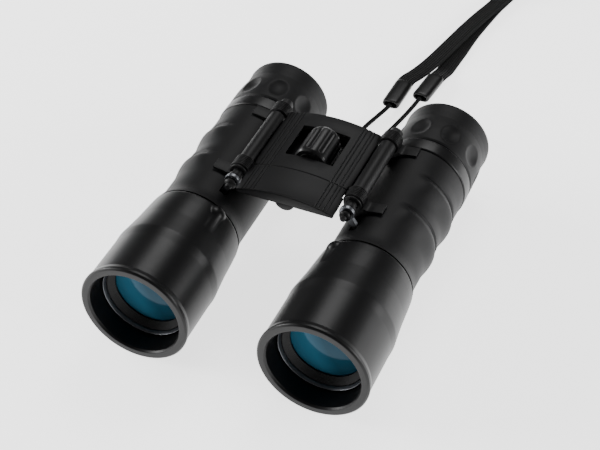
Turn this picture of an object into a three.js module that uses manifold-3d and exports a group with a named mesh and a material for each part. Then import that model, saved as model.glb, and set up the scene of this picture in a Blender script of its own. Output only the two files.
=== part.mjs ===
// Compact roof-prism binoculars with two straight barrels on a double-hinged bridge,
// and a neck strap whose spare length is rolled up behind them.
// Millimetres, +Z up. The barrels lie along Y: objectives at -Y, eyepieces at +Y.
// The origin is on the resting plane, under the middle of the body. Names with right_
// and left_ follow the user, who looks from +Y: the right barrel is the one at -X.

import * as THREE from 'three';
import { mergeVertices } from 'three/addons/utils/BufferGeometryUtils.js';
import Module from 'manifold-3d';

const wasm = await Module();
wasm.setup();

// ---------- driving dimensions ----------

const bodyLength = 149;          // objective rim to eyecup edge
const axisSpacing = 75.2;        // between the optical axes, opened fully
const rimRadius = 23;            // objective rim, which is what the body rests on
const hingeSpacing = 49.6;       // between the two hinge axes
const hingeHeight = 44.6;        // hinge axes above the resting plane
const gap = 0.3;                 // clearance between neighbouring pieces
const large = 24;                // sides of a barrel-sized round
const small = 14;                // sides of a pin-sized round

const frontY = -bodyLength / 2;
const rearY = bodyLength / 2;
const axisHeight = rimRadius;
const barrelX = axisSpacing / 2;
const hingeX = hingeSpacing / 2;

// barrel shell
const boreRadius = 16.4;
const shellRadius = 17.8;
const spigotRadius = 16.8;
const seamY = -20.7;             // objective housing meets the armour
const shellEndY = 46;
const armourEndY = 40.5;
const gripRadius = 18.6;
const ridgeCrests = [3.6, 23.2]; // finger ridges on the outer side of the armour
const ridgeHeight = 1.2;
const ridgeRun = 9;              // gentle front slope
const ridgeDrop = 4;             // steep rear slope

// objective end
const boreFront = 19.2;
const cellRadius = 18.3;
const lensRadius = 16;
const lensFrontY = -62.4;

// hinges
const tubeRadius = 3.5;
const tubeBore = 2.6;
const tubeFrontY = 2.9;
const tubeRearY = 34.2;
const knuckleRadius = 4.2;
const frontEarY = [-3.5, 2.5];
const rearEarY = [34.6, 40.6];
const rodRadius = 2.2;

// bridge
const wheelHeight = 45.6;
const wheelRadius = 6.8;
const wheelY = [10.5, 28.9];
const wheelLobes = 8;
const plateHeight = 49.4;        // top of the arch
const archRadius = 67;
const plateHalfWidth = 20.9;
const plateY = [-15, 38];
const plateThickness = 1;
const baseBottom = 41.2;
const baseTop = 42.2;
const windowHalfWidth = 10.4;
const baseWindowHalfWidth = 7.7; // the base closes in on the wheel
const windowY = [9.6, 29.3];
const yokeY = 33;                // focus yoke behind the wheel
const yokePinY = 20;
const leverY = -9.75;            // focus lever sits in the neck of each rod

// strap
const cordDiameter = 2;
const webWidth = 8.5;
const webThickness = 1.2;
const sleeveLength = 17.5;
const rollCentre = [-8.4, 257.2];
const rollRadii = [28.6, 35.4];

// ---------- shape helpers ----------

function closed(geometry) {
  // One welded mesh with its faces pointing out and no collapsed triangles.
  geometry.deleteAttribute('normal');
  geometry.deleteAttribute('uv');
  const welded = mergeVertices(geometry, 1e-4);
  const at = welded.attributes.position;
  const index = Array.from(welded.index.array);
  const kept = [];
  let volume = 0;
  const [a, b, c] = [new THREE.Vector3(), new THREE.Vector3(), new THREE.Vector3()];
  for (let i = 0; i < index.length; i += 3) {
    const [p, q, r] = index.slice(i, i + 3);
    if (p === q || q === r || r === p) continue;
    kept.push([p, q, r]);
    a.fromBufferAttribute(at, p);
    b.fromBufferAttribute(at, q);
    c.fromBufferAttribute(at, r);
    volume += a.dot(b.clone().cross(c));
  }
  welded.setIndex(kept.flatMap(([p, q, r]) => (volume > 0 ? [p, q, r] : [p, r, q])));
  return welded;
}

function toManifold(geometry) {
  const mesh = closed(geometry);
  return new wasm.Manifold(new wasm.Mesh({
    numProp: 3,
    vertProperties: new Float32Array(mesh.attributes.position.array),
    triVerts: new Uint32Array(mesh.index.array),
  }));
}

function toGeometry(manifold) {
  const mesh = manifold.getMesh();
  const geometry = new THREE.BufferGeometry();
  geometry.setAttribute('position', new THREE.BufferAttribute(mesh.vertProperties.slice(), 3));
  geometry.setIndex(Array.from(mesh.triVerts));
  return geometry;
}

// A ring about Y from a closed outline of [radius, y] points.
function ring(outline, sides = large) {
  const points = [...outline, outline[0]].map(([r, y]) => new THREE.Vector2(r, y));
  return closed(new THREE.LatheGeometry(points, sides));
}

// A solid turned about Y, whose outline starts and ends on the axis.
function turned(outline, sides = large) {
  return closed(new THREE.LatheGeometry(outline.map(([r, y]) => new THREE.Vector2(r, y)), sides));
}

function box(x, y, z) {
  const geometry = new THREE.BoxGeometry(x[1] - x[0], y[1] - y[0], z[1] - z[0]);
  return geometry.translate((x[0] + x[1]) / 2, (y[0] + y[1]) / 2, (z[0] + z[1]) / 2);
}

// A rod along Y or X with its middle line at the two other coordinates.
function rodY(radius, y, x, z, sides = small) {
  const geometry = new THREE.CylinderGeometry(radius, radius, y[1] - y[0], sides);
  return geometry.translate(x, (y[0] + y[1]) / 2, z);
}

function rodX(radius, x, y, z, sides = small) {
  const geometry = new THREE.CylinderGeometry(radius, radius, x[1] - x[0], sides);
  return geometry.rotateZ(Math.PI / 2).translate((x[0] + x[1]) / 2, y, z);
}

function rodZ(radius, z, x, y, sides = small) {
  const geometry = new THREE.CylinderGeometry(radius, radius, z[1] - z[0], sides);
  return geometry.rotateX(Math.PI / 2).translate(x, y, (z[0] + z[1]) / 2);
}

// An outline of [x, z] points carried along Y from y[0] to y[1].
function along(outline, y) {
  const shape = new THREE.Shape(outline.map(([x, z]) => new THREE.Vector2(x, z)));
  const geometry = new THREE.ExtrudeGeometry(shape, { depth: y[1] - y[0], bevelEnabled: false });
  return geometry.rotateX(Math.PI / 2).translate(0, y[1], 0);
}

function join(first, ...others) {
  return others.reduce((whole, next) => whole.add(toManifold(next)), toManifold(first));
}

function cut(whole, ...tools) {
  return tools.reduce((rest, tool) => rest.subtract(toManifold(tool)), whole);
}

// ---------- finishes ----------

const finishes = {
  armour: [0x1b1b1c, 0.55, 0],
  paint: [0x141415, 0.4, 0.1],
  plastic: [0x161617, 0.45, 0],
  satin: [0x3a3b3d, 0.45, 0.6],
  alloy: [0x101011, 0.4, 0.7],
  steel: [0xb9bcc0, 0.25, 1],
  glass: [0x1d4a63, 0.05, 0],
  clear: [0xdfe6ea, 0.05, 0],
  rubber: [0x191919, 0.65, 0],
  cord: [0x0c0c0c, 0.8, 0],
};

function place(group, name, geometry, finish) {
  const [color, roughness, metalness] = finishes[finish];
  const material = new THREE.MeshStandardMaterial({ color, roughness, metalness });
  const mesh = new THREE.Mesh(geometry, material);
  mesh.name = name;
  group.add(mesh);
}

const binoculars = new THREE.Group();

// ---------- barrel pieces, in a frame on the optical axis ----------

// The angle about the optical axis is measured from outward (0) over the top (90).
// `side` is +1 for the barrel at +X, whose outward direction is +X.

const hingeOut = hingeX - barrelX;             // from the optical axis, inward is negative
const hingeUp = hingeHeight - axisHeight;
const hingeAngle = Math.atan2(hingeUp, hingeOut);
const hingeReach = Math.hypot(hingeOut, hingeUp);

function polar(radius, degrees) {
  const angle = THREE.MathUtils.degToRad(degrees);
  return [radius * Math.cos(angle), radius * Math.sin(angle)];
}

// The outline of an ear: knuckle over the hinge pin, inner web, and a strap that curves
// down over the barrel to a thin tip.
function earOutline() {
  const knuckle = [];
  for (let degrees = 190; degrees >= -10; degrees -= 25) {
    const [x, z] = polar(knuckleRadius, degrees);
    knuckle.push([hingeOut + x, hingeUp + z]);
  }
  return [
    ...knuckle,
    [-7.2, 19.6], [-5.2, 18.9], [-3.2, 18.9],
    polar(17.1, 100), polar(17.1, 120), polar(17.1, 143),
    [-15, 13.2],
  ];
}

function mirrored(outline, side) {
  return outline.map(([x, z]) => [side * x, z]);
}

function ear(side, y) {
  return along(mirrored(earOutline(), side), y);
}

// A block square to the hinge direction, from one radius to another.
function hingeBlock(side, radius, halfWidth, y) {
  const block = box([radius[0], radius[1]], y, [-halfWidth, halfWidth]);
  block.rotateY(-hingeAngle);
  return side > 0 ? block : block.scale(-1, 1, 1);
}

const hingeHole = (side, radius, y) => rodY(radius, y, side * hingeOut, hingeUp);
const leverSlotY = [leverY - 3.1, leverY + 3.1];

function barrelBody(side) {
  const shell = ring([
    [spigotRadius, -30], [spigotRadius, seamY], [shellRadius, seamY], [shellRadius, shellEndY],
    [boreRadius, shellEndY], [boreRadius, -19.7], [15.6, -19.7], [15.6, -30],
  ]);
  const body = join(shell, ear(side, frontEarY), ear(side, rearEarY));
  return toGeometry(cut(
    body,
    hingeHole(side, 3.3, [frontEarY[0] - 1, frontEarY[1] + 1]),
    hingeHole(side, tubeBore, [rearEarY[0] - 1, rearEarY[1] + 1]),
    hingeBlock(side, [14, 22], 1.8, leverSlotY),
  ));
}

// How far a finger ridge stands out at y: a gentle rise, then a steep fall.
function ridge(y, crest) {
  const run = y < crest ? ridgeRun : ridgeDrop;
  const t = Math.abs(y - crest) / run;
  return t < 1 ? ridgeHeight * 0.5 * (1 + Math.cos(Math.PI * t)) : 0;
}

function barrelArmour(side) {
  const outside = [[19.8, seamY], [19, -17.5], [gripRadius, -14], [gripRadius, -6]];
  for (const crest of ridgeCrests) {
    const base = gripRadius + (crest > 10 ? 0.2 : 0);
    for (const step of [-4.5, 0, ridgeDrop, ridgeDrop + 3]) outside.push([base, crest + step]);
  }
  outside.push([19.1, armourEndY]);
  const inside = [[shellRadius + gap, armourEndY], [shellRadius + gap, seamY]];
  const skin = ring([...outside, ...inside]);
  const at = skin.attributes.position;
  for (let i = 0; i < at.count; i += 1) {
    const [x, y, z] = [at.getX(i), at.getY(i), at.getZ(i)];
    const radius = Math.hypot(x, z);
    if (radius < shellRadius + 2 * gap) continue;
    const angle = THREE.MathUtils.radToDeg(Math.atan2(z, side * x));
    const fade = THREE.MathUtils.clamp((95 - Math.abs(angle + 20)) / 30, 0, 1);
    const height = fade * ridgeCrests.reduce((sum, crest) => sum + ridge(y, crest), 0);
    at.setXYZ(i, x * (1 + height / radius), y, z * (1 + height / radius));
  }
  const pocket = [
    polar(17.6, 96), polar(20.5, 96), polar(24, 120), polar(21, 147), polar(17.6, 147),
    polar(17.9, 122),
  ];
  return toGeometry(cut(
    toManifold(skin),
    along(mirrored(pocket, side), [frontEarY[0] - gap, frontEarY[1] + gap]),
    along(mirrored(pocket, side), [rearEarY[0] - gap, armourEndY + 1]),
    hingeBlock(side, [16, 23], 1.8, leverSlotY),
  ));
}

function objectiveHousing() {
  return ring([
    [22.3, frontY], [rimRadius, frontY + 0.6], [rimRadius, frontY + 1.7], [22.5, frontY + 3.5],
    [22.4, -51], [22.6, -46.5], [21.9, -41], [21.2, -35], [20.5, -26], [20.1, -21.9],
    [19.5, -21], [spigotRadius + gap, -21], [spigotRadius + gap, -31], [18.8, -36],
    [18.8, -69.5], [boreFront, -70.5], [boreFront, frontY],
  ]);
}

function objectiveCell(side) {
  const cell = ring([
    [17.5, -64.9], [17.9, -65.8], [cellRadius, -65.2], [cellRadius, -42], [14.9, -42],
    [14.9, -53.5], [lensRadius + gap, -53.5], [lensRadius + gap, -59.9], [17.4, -59.9],
  ]);
  return toGeometry(cut(toManifold(cell), screwHole(side)));
}

const objectiveRetainer = () => ring([
  [17, -64.2], [17, -60.9], [14.8, -60.9], [14.8, -61.5], [16.7, -64.2],
]);

const objectiveCrown = () => turned([
  [0, lensFrontY], [8, lensFrontY + 0.5], [lensRadius, lensFrontY + 2.2],
  [lensRadius, -58.2], [8, -56.6], [0, -56],
]);

const objectiveFlint = () => turned([
  [0, -55.7], [8, -56.3], [lensRadius, -57.9], [lensRadius, -54.1], [0, -53.8],
]);

// The lever is a strip inside the barrel, from the objective cell back to a post that
// leaves through the slot and ends in an eye round the neck of the focus rod.
const leverInner = 13.1;
const leverThickness = 1.4;
const leverScrewY = -46;

function screwHole(side) {
  return hingeBlock(side, [12, 17], 1, [leverScrewY - 1, leverScrewY + 1]);
}

function focusLever(side) {
  const strip = hingeBlock(side, [leverInner, leverInner + leverThickness], 1.9, [-49, leverY + 0.8]);
  const post = hingeBlock(side, [leverInner, hingeReach - 2.2], 1.2, [leverY - 0.8, leverY + 0.8]);
  const eye = hingeHole(side, 3.2, [leverY - 0.8, leverY + 0.8]);
  const bore = hingeHole(side, 1.95, [leverY - 2, leverY + 2]);
  return toGeometry(cut(join(strip, post, eye), bore, screwHole(side)));
}

function leverScrew(side) {
  const shank = hingeBlock(side, [12.4, 16.6], 0.7, [leverScrewY - 0.7, leverScrewY + 0.7]);
  const head = hingeBlock(side, [11.6, leverInner - gap], 1.7, [leverScrewY - 1.7, leverScrewY + 1.7]);
  return toGeometry(join(head, shank));
}

const prismHalfWidth = 7.9;
const prismFace = 8.1;

function prismCage() {
  const clear = 0.4;
  const tube = turned([[0, -3], [15.9, -3], [15.9, 22.6], [0, 22.6]]);
  const half = prismHalfWidth + clear;
  const hole = box([-half, half], [-4, 24], [-prismFace - clear, prismFace + clear]);
  return toGeometry(cut(toManifold(tube), hole));
}

// A prism's side outline of [y, z] points, carried across X.
function prismBlock(outline) {
  const shape = new THREE.Shape(outline.map(([y, z]) => new THREE.Vector2(z, y)));
  const depth = 2 * prismHalfWidth;
  const geometry = new THREE.ExtrudeGeometry(shape, { depth, bevelEnabled: false });
  return geometry.translate(0, 0, -prismHalfWidth).rotateY(-Math.PI / 2);
}

const prismFront = () => closed(prismBlock([
  [-2.5, -prismFace], [-2.5, prismFace], [4.1, prismFace], [10.1, -prismFace],
]));

function prismRoof() {
  const block = prismBlock([
    [4.7, prismFace], [10.7, -prismFace], [18.6, -prismFace], [21.8, 0], [16.4, prismFace],
  ]);
  const ridgeDepth = prismFace - prismHalfWidth;
  const house = along([
    [-prismHalfWidth, -9], [prismHalfWidth, -9], [prismHalfWidth, ridgeDepth],
    [0, prismFace], [-prismHalfWidth, ridgeDepth],
  ], [0, 24]);
  return toGeometry(toManifold(block).intersect(toManifold(house)));
}

const eyepieceBarrel = () => ring([
  [16.1, 27], [16.1, 64], [9.5, 64], [9.5, 62.2], [11.4, 62.2], [11.4, 55], [14.2, 53],
  [14.2, 27],
]);

const fieldLens = () => turned([[0, 28.6], [13.9, 30.2], [13.9, 32.8], [0, 34.5]]);
const eyeLens = () => turned([[0, 55.6], [11.1, 57.4], [11.1, 60.4], [0, 61.7]]);

function eyepieceFlange(side) {
  const band = ring([
    [shellRadius + gap, 40.9], [19.2, 40.9], [19.5, 41.4], [19.5, 47], [19.2, 47.5],
    [shellRadius + gap, 47.5],
  ]);
  const [from, to] = [polar(17.6, 96), polar(17.6, 147)];
  const pocket = mirrored([from, polar(21, 96), polar(24, 122), polar(21, 147), to], side);
  return toGeometry(cut(toManifold(band), along(pocket, [40, rearEarY[1] + gap])));
}

const twistRing = () => ring([
  [16.6, 47.9], [18.9, 47.9], [19.4, 49], [19.5, 56], [19.2, 61], [18.7, 65.4], [16.6, 65.4],
]);

const eyecup = () => ring([
  [18.7, 65.7], [18.7, 69], [19, 72.5], [18.8, rearY - 0.6], [18, rearY], [15.5, rearY],
  [14.9, 73.6], [14.2, 67.2], [10, 67.2], [10, 65.7],
]);

// Rear hinge pin with its hollow end, and the flanged bush in the front knuckle.
const hingePin = () => turned([
  [0, 28], [2.3, 28], [2.3, 41.2], [2.8, 41.2], [2.8, 44.3], [1.5, 44.3], [1.5, 43.2], [0, 43.2],
], small);

const hingeBush = () => ring([
  [2.5, -4.6], [3.8, -4.6], [3.8, -3.9], [3, -3.9], [3, 2.6], [2.5, 2.6],
], small);

// The focus rod: shaft, collar, neck for the lever, ball end and thin tip.
function focusRod(side) {
  const ball = [[2.3, -11.2], [2.9, -12], [2.6, -13]];
  const rod = turned([
    [0, -14.6], [1.2, -14.6], [1.4, -13.4], ...ball.toReversed(), [1.6, -11.1],
    [1.6, -8.5], [2.8, -8.5], [2.8, -7.1], [rodRadius, -7.1], [rodRadius, 24], [0, 24],
  ], small);
  const socket = rodX(1.2, side > 0 ? [-3, -0.5] : [0.5, 3], yokePinY, 43.9 - hingeHeight);
  return toGeometry(cut(toManifold(rod), socket));
}

for (const side of [-1, 1]) {
  const name = side < 0 ? 'right' : 'left';
  const barrel = new THREE.Group();
  barrel.position.set(side * barrelX, 0, axisHeight);
  binoculars.add(barrel);
  place(barrel, `${name}_barrel_body`, barrelBody(side), 'paint');
  place(barrel, `${name}_barrel_armour`, barrelArmour(side), 'armour');
  place(barrel, `${name}_objective_housing`, objectiveHousing(), 'paint');
  place(barrel, `${name}_objective_cell`, objectiveCell(side), 'satin');
  place(barrel, `${name}_objective_retainer`, objectiveRetainer(), 'alloy');
  place(barrel, `${name}_objective_crown`, objectiveCrown(), 'glass');
  place(barrel, `${name}_objective_flint`, objectiveFlint(), 'glass');
  place(barrel, `${name}_focus_lever`, focusLever(side), 'satin');
  place(barrel, `${name}_lever_screw`, leverScrew(side), 'steel');
  place(barrel, `${name}_prism_cage`, prismCage(), 'plastic');
  place(barrel, `${name}_prism_front`, prismFront(), 'clear');
  place(barrel, `${name}_prism_roof`, prismRoof(), 'clear');
  place(barrel, `${name}_eyepiece_flange`, eyepieceFlange(side), 'plastic');
  place(barrel, `${name}_eyepiece_barrel`, eyepieceBarrel(), 'alloy');
  place(barrel, `${name}_field_lens`, fieldLens(), 'clear');
  place(barrel, `${name}_eye_lens`, eyeLens(), 'clear');
  const ringName = side < 0 ? 'right_dioptre_ring' : 'left_eyepiece_ring';
  place(barrel, ringName, twistRing(), 'rubber');
  place(barrel, `${name}_eyecup`, eyecup(), 'rubber');

  const hinge = new THREE.Group();
  hinge.position.set(side * hingeX, 0, hingeHeight);
  binoculars.add(hinge);
  place(hinge, `${name}_hinge_pin`, hingePin(), 'alloy');
  place(hinge, `${name}_hinge_bush`, hingeBush(), 'alloy');
  place(hinge, `${name}_focus_rod`, focusRod(side), 'alloy');
}

// ---------- bridge ----------

const archHeight = (x) => plateHeight - archRadius + Math.sqrt(archRadius ** 2 - x ** 2);
const screwPosts = [[-12.5, -5], [12.5, -5]];
const railX = [19.4, 21.7];
const railTop = 44.75;
const skirtBottom = 44.5;
const bearingY = [37, 38];
// The base's lips beside the wheel, sloping in under it.
const wellLip = [[7.7, 42.2], [9, 42.2], [9, 41.4], [5.9, 38.5], [5.1, 39.2]];
const lugX = [4.4, 6];
const lugBar = [34, 37.6];       // y and z of the strap bar

function bothSides(make) {
  return [make((a, b) => [a, b]), make((a, b) => [-b, -a])];
}

function bridgeBase() {
  const earRoom = 0.8;
  const inX = 17.2;
  let base = join(
    box([-23, 23], [tubeFrontY, tubeRearY], [baseBottom, baseTop]),
    box([-19.4, 19.4], [-12, bearingY[1]], [baseBottom, baseTop]),
    box([-19.4, 19.4], [-12, -11], [baseBottom, railTop]),
    box([-6, 6], bearingY, [baseBottom, 47.9]),
    ...bothSides((span) => box(span(...railX), [tubeFrontY, tubeRearY], [baseBottom, railTop])),
    ...bothSides((span) => box(span(...lugX), [31, 37], [35.8, baseBottom + 0.5])),
    ...screwPosts.map(([x, y]) => rodZ(2.2, [baseBottom, 46.3], x, y, 10)),
    ...[-1, 1].map((side) => along(mirrored(wellLip, side), windowY)),
  );
  const boss = join(rodY(4.3, [-14.7, 9.3], 0, wheelHeight, 20));
  base = base.add(cut(
    boss, box([-5, 5], [-16, 10], [47.9, 51]), box([-5, 5], [-16, -13.5], [44.2, 51]),
  ));
  for (const side of [-1, 1]) {
    const tube = ring([
      [tubeRadius, tubeFrontY], [tubeRadius, tubeRearY], [tubeBore, tubeRearY],
      [tubeBore, tubeFrontY],
    ], 18).translate(side * hingeX, 0, hingeHeight);
    base = base.add(toManifold(tube));
    const bore = rodY(tubeBore, [tubeFrontY - 1, tubeRearY + 1], side * hingeX, hingeHeight, 18);
    base = cut(base, bore);
  }
  const slotY = [yokePinY - 3.3, yokePinY + 3.3];
  const slots = bothSides((span) => box(span(18, 23.5), slotY, [42.7, 46]));
  const earRooms = [frontEarY, rearEarY].flatMap(([from, to]) => bothSides(
    (span) => box(span(inX, 30), [from - earRoom, to + earRoom / 3], [30, 46]),
  ));
  return toGeometry(cut(
    base,
    box([-baseWindowHalfWidth, baseWindowHalfWidth], [windowY[0], windowY[1]], [30, 60]),
    rodY(2, [-20, 45], 0, wheelHeight),
    rodX(1.2, [-8, 8], ...lugBar),
    ...screwPosts.map(([x, y]) => rodZ(1.2, [40, 50], x, y, 10)),
    ...slots,
    ...earRooms,
  ));
}

function bridgeTopPlate() {
  const steps = 10;
  const arch = Array.from({ length: steps + 1 }, (_, i) => {
    const x = plateHalfWidth * (1 - (2 * i) / steps);
    return [x, archHeight(x)];
  });
  const under = arch.map(([x, z]) => [x, z - plateThickness]).reverse();
  const skirt = [...arch, [-plateHalfWidth, skirtBottom], [plateHalfWidth, skirtBottom]];
  const plate = join(along([...arch, ...under], plateY), along(skirt, [plateY[0], plateY[0] + 1.2]));
  const notches = [frontEarY, rearEarY].flatMap(([from, to]) => bothSides(
    (span) => box(span(20.2, 30), [from - 0.6, to + 0.6], [40, 60]),
  ));
  return toGeometry(cut(
    plate,
    box([-windowHalfWidth, windowHalfWidth], [windowY[0], windowY[1]], [30, 60]),
    ...notches,
  ));
}

// The lobed wheel, with eight broad flats between shallow grooves.
function focusWheel() {
  const points = 6 * wheelLobes;
  const outline = Array.from({ length: points }, (_, i) => {
    const angle = (2 * Math.PI * i) / points;
    const radius = wheelRadius - 0.35 * (1 - Math.cos(wheelLobes * angle));
    return [radius * Math.cos(angle), wheelHeight + radius * Math.sin(angle)];
  });
  return toGeometry(cut(
    toManifold(along(outline, wheelY)),
    rodY(1.9, [wheelY[0] - 1, wheelY[1] + 1], 0, wheelHeight),
  ));
}

const focusSpindle = () => turned([
  [0, -13.8], [1.6, -13.8], [1.6, 38.6], [0, 38.6],
], small).translate(0, 0, wheelHeight);

// The yoke is moved by the spindle's thread and carries both focus rods on its side pins.
function focusYoke() {
  const armY = [yokePinY - 1.4, yokeY + 1.4];
  const parts = [
    box([-16.5, 16.5], [yokeY - 1.4, yokeY + 1.4], [42.6, 44.8]),
    ...bothSides((span) => box(span(13, 16.5), armY, [42.6, 44.8])),
    ...bothSides((span) => box(span(16, 19.1), [yokePinY - 1.4, yokePinY + 1.4], [42.6, 44.8])),
    ...bothSides((span) => rodX(0.9, span(18.8, 23.9), yokePinY, 43.9, 10)),
  ];
  const yoke = join(box([-4.4, 4.4], [yokeY - 1.6, yokeY + 1.6], [42.6, 47.5]), ...parts);
  return toGeometry(cut(yoke, rodY(1.95, [yokeY - 3, yokeY + 3], 0, wheelHeight)));
}

const bridgeScrew = ([x, y]) => toGeometry(join(
  rodZ(2, [39.7, baseBottom - gap], x, y, 12), rodZ(0.85, [40.5, 45.8], x, y, 10),
));

const bridge = new THREE.Group();
binoculars.add(bridge);
place(bridge, 'bridge_base', bridgeBase(), 'alloy');
place(bridge, 'bridge_top_plate', bridgeTopPlate(), 'paint');
place(bridge, 'focus_wheel', focusWheel(), 'plastic');
place(bridge, 'focus_spindle', focusSpindle(), 'steel');
place(bridge, 'focus_yoke', focusYoke(), 'satin');
screwPosts.forEach((post, i) => {
  place(bridge, `bridge_screw_${i + 1}`, bridgeScrew(post), 'steel');
});
place(bridge, 'strap_bar', closed(rodX(0.9, [-6.4, 6.4], ...lugBar, 12)), 'steel');

// ---------- neck strap ----------

// A cord of round or flat section along a smooth curve through the points.
function cordSolid(points, section, steps) {
  const path = new THREE.CatmullRomCurve3(points.map((p) => new THREE.Vector3(...p)), false, 'centripetal');
  const options = { steps, bevelEnabled: false, extrudePath: path };
  return closed(new THREE.ExtrudeGeometry(new THREE.Shape(section), options));
}

const roundSection = Array.from({ length: 8 }, (_, i) => {
  const angle = (Math.PI / 4) * (i + 0.5);
  const radius = cordDiameter / 2;
  return new THREE.Vector2(radius * Math.cos(angle), radius * Math.sin(angle));
});

// Flat on the surface: the section's x runs up and down and its y across.
const [thick, wide] = [webThickness / 2, webWidth / 2];
const flatSection = [
  [-thick, -wide + 0.4], [-thick, wide - 0.4], [-thick / 2, wide], [thick / 2, wide],
  [thick, wide - 0.4], [thick, -wide + 0.4], [thick / 2, -wide], [-thick / 2, -wide],
].map(([x, y]) => new THREE.Vector2(x, y));

// Each thin cord drops from the strap bar to the surface and runs to its sleeve.
const rightCord = [
  [-2.2, 35.3, 37.5], [-2.2, 37, 36.7], [-2.3, 38.8, 34], [-2.4, 41, 29.4], [-2.5, 44, 23.6],
  [-2.7, 47.8, 17.6], [-2.9, 52.5, 11.9], [-3.3, 58, 7], [-4, 64, 3.5], [-5.2, 70.5, 1.6],
  [-7, 77.5, 1.12], [-8.5, 85, 1.02], [-8.3, 92.5, 1.02], [-6.5, 100, 1.16], [-4, 107.5, 2],
  [-3, 111.2, 2.4],
];
const leftCord = [
  [2.2, 35.3, 37.5], [2.2, 37, 36.7], [2.2, 38.8, 34], [2.2, 41, 29.4], [2.2, 44, 23.6],
  [2.1, 47.8, 17.6], [2, 52.5, 11.9], [1.8, 58, 7], [1.5, 64, 3.5], [1.2, 70.5, 1.6],
  [1.1, 78, 1.12], [1.5, 86, 1.02], [3, 94, 1.02], [4.6, 102.5, 1.02], [6, 110.5, 1.12],
  [7.4, 118, 1.9], [7.9, 121.4, 2.4],
];

// The webbing's two runs meet and lie one on the other before they reach the roll.
const rightWeb = [
  [-2.5, 130.2, 2.4], [-2.1, 133, 2.4], [0.1, 138.5, 2.2], [2.8, 147, 2.25], [5, 156.5, 2.3],
  [6.9, 166.5, 2.3], [8.6, 175.5, 2.3], [10.4, 184.5, 2.3], [12.9, 195.5, 2.3],
  [15.5, 206, 2.3], [18, 217, 2.3], [20.9, 231, 2.3],
];
const leftWeb = [
  [9.7, 140.2, 1.4], [10, 142.5, 1.4], [10.8, 147.5, 0.7], [11.5, 158, 0.65],
  [12, 166, 0.65], [12.3, 175, 0.65], [13.1, 185, 0.65], [14.4, 196, 0.65],
  [16.1, 206.5, 0.65], [18.2, 217, 0.65], [21, 231, 0.65],
];

// A flattened sleeve with an opening at each end, turned to follow its cord.
function sleeve(front, heading) {
  const [halfWidth, halfHeight, corner] = [4.1, 2.3, 1.7];
  const outline = new THREE.Shape();
  for (const [x, z, from] of [[1, 1, 0], [-1, 1, 90], [-1, -1, 180], [1, -1, 270]]) {
    outline.absarc(
      x * (halfWidth - corner), z * (halfHeight - corner), corner,
      THREE.MathUtils.degToRad(from), THREE.MathUtils.degToRad(from + 90),
    );
  }
  const options = { depth: sleeveLength, bevelEnabled: false, curveSegments: 3 };
  const body = new THREE.ExtrudeGeometry(outline, options);
  body.rotateX(-Math.PI / 2);
  return closed(body).rotateZ(heading).translate(front[0], front[1], front[2]);
}

function strapRoll() {
  const [inner, outer] = rollRadii;
  const band = ring([[inner, 0.6], [outer, 0.6], [outer, 9.1], [inner, 9.1]], 40);
  return band.rotateX(Math.PI / 2);
}

// A band round the layers of the roll, on its far side.
function strapTie() {
  const [inner, outer] = rollRadii;
  const [clear, wall, half] = [0.3, 0.7, 3];
  const outside = box([-half, half], [inner - clear - wall, outer + clear + wall], [0, 10]);
  const inside = box([-half - 1, half + 1], [inner - clear - 0.25, outer + clear], [0.3, 9.4]);
  return toGeometry(cut(toManifold(outside), inside));
}

const strap = new THREE.Group();
binoculars.add(strap);
place(strap, 'right_strap_cord', cordSolid(rightCord, roundSection, 42), 'cord');
place(strap, 'left_strap_cord', cordSolid(leftCord, roundSection, 44), 'cord');
place(strap, 'right_strap_sleeve', sleeve([-3, 111.6, 2.4], -0.02), 'plastic');
place(strap, 'left_strap_sleeve', sleeve([8, 121.8, 2.4], -0.09), 'plastic');
place(strap, 'right_strap_webbing', cordSolid(rightWeb, flatSection, 30), 'cord');
place(strap, 'left_strap_webbing', cordSolid(leftWeb, flatSection, 28), 'cord');
const roll = new THREE.Group();
roll.position.set(...rollCentre, 0);
strap.add(roll);
place(roll, 'strap_roll', closed(strapRoll()), 'cord');
place(roll, 'strap_tie', strapTie(), 'rubber');

export default binoculars;
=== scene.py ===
"""Folding roof-prism binoculars with a neck strap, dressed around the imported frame."""

import math

import bmesh
import bpy
from mathutils import Matrix, Vector


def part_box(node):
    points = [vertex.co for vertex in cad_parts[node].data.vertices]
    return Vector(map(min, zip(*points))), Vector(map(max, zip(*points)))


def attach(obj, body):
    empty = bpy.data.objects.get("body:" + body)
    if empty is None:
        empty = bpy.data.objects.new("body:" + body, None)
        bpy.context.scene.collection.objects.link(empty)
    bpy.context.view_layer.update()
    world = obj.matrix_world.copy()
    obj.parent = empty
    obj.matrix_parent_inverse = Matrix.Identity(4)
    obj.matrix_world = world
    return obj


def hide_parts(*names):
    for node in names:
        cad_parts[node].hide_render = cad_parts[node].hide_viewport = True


bl_info = {
    "name": "Folding Binoculars",
    "version": (1, 0, 0),
    "blender": (4, 5, 0),
    "location": "3D View > Sidebar > Binoculars",
    "description": "Builds the visible pieces of a pair of folding binoculars",
    "category": "Object",
}

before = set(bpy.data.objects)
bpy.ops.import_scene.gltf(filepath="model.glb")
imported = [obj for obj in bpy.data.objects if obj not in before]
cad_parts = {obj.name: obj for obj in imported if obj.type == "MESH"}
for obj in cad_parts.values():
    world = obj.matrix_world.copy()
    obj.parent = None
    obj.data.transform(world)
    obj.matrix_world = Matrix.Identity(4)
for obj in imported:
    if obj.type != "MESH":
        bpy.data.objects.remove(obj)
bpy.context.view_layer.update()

MM = 0.001
SIDES = {"right": -1, "left": 1}  # the user's right barrel is the one at -X
BARREL_X, BARREL_Z = 37.6, 23.0
HINGE_X, HINGE_Z = 24.8, 44.6
WHEEL_Z = 45.6
LARGE_STEPS = 192  # facets of a barrel-sized round
SMALL_STEPS = 56  # facets of a pin-sized round

# ---------- colours and materials ----------


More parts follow.
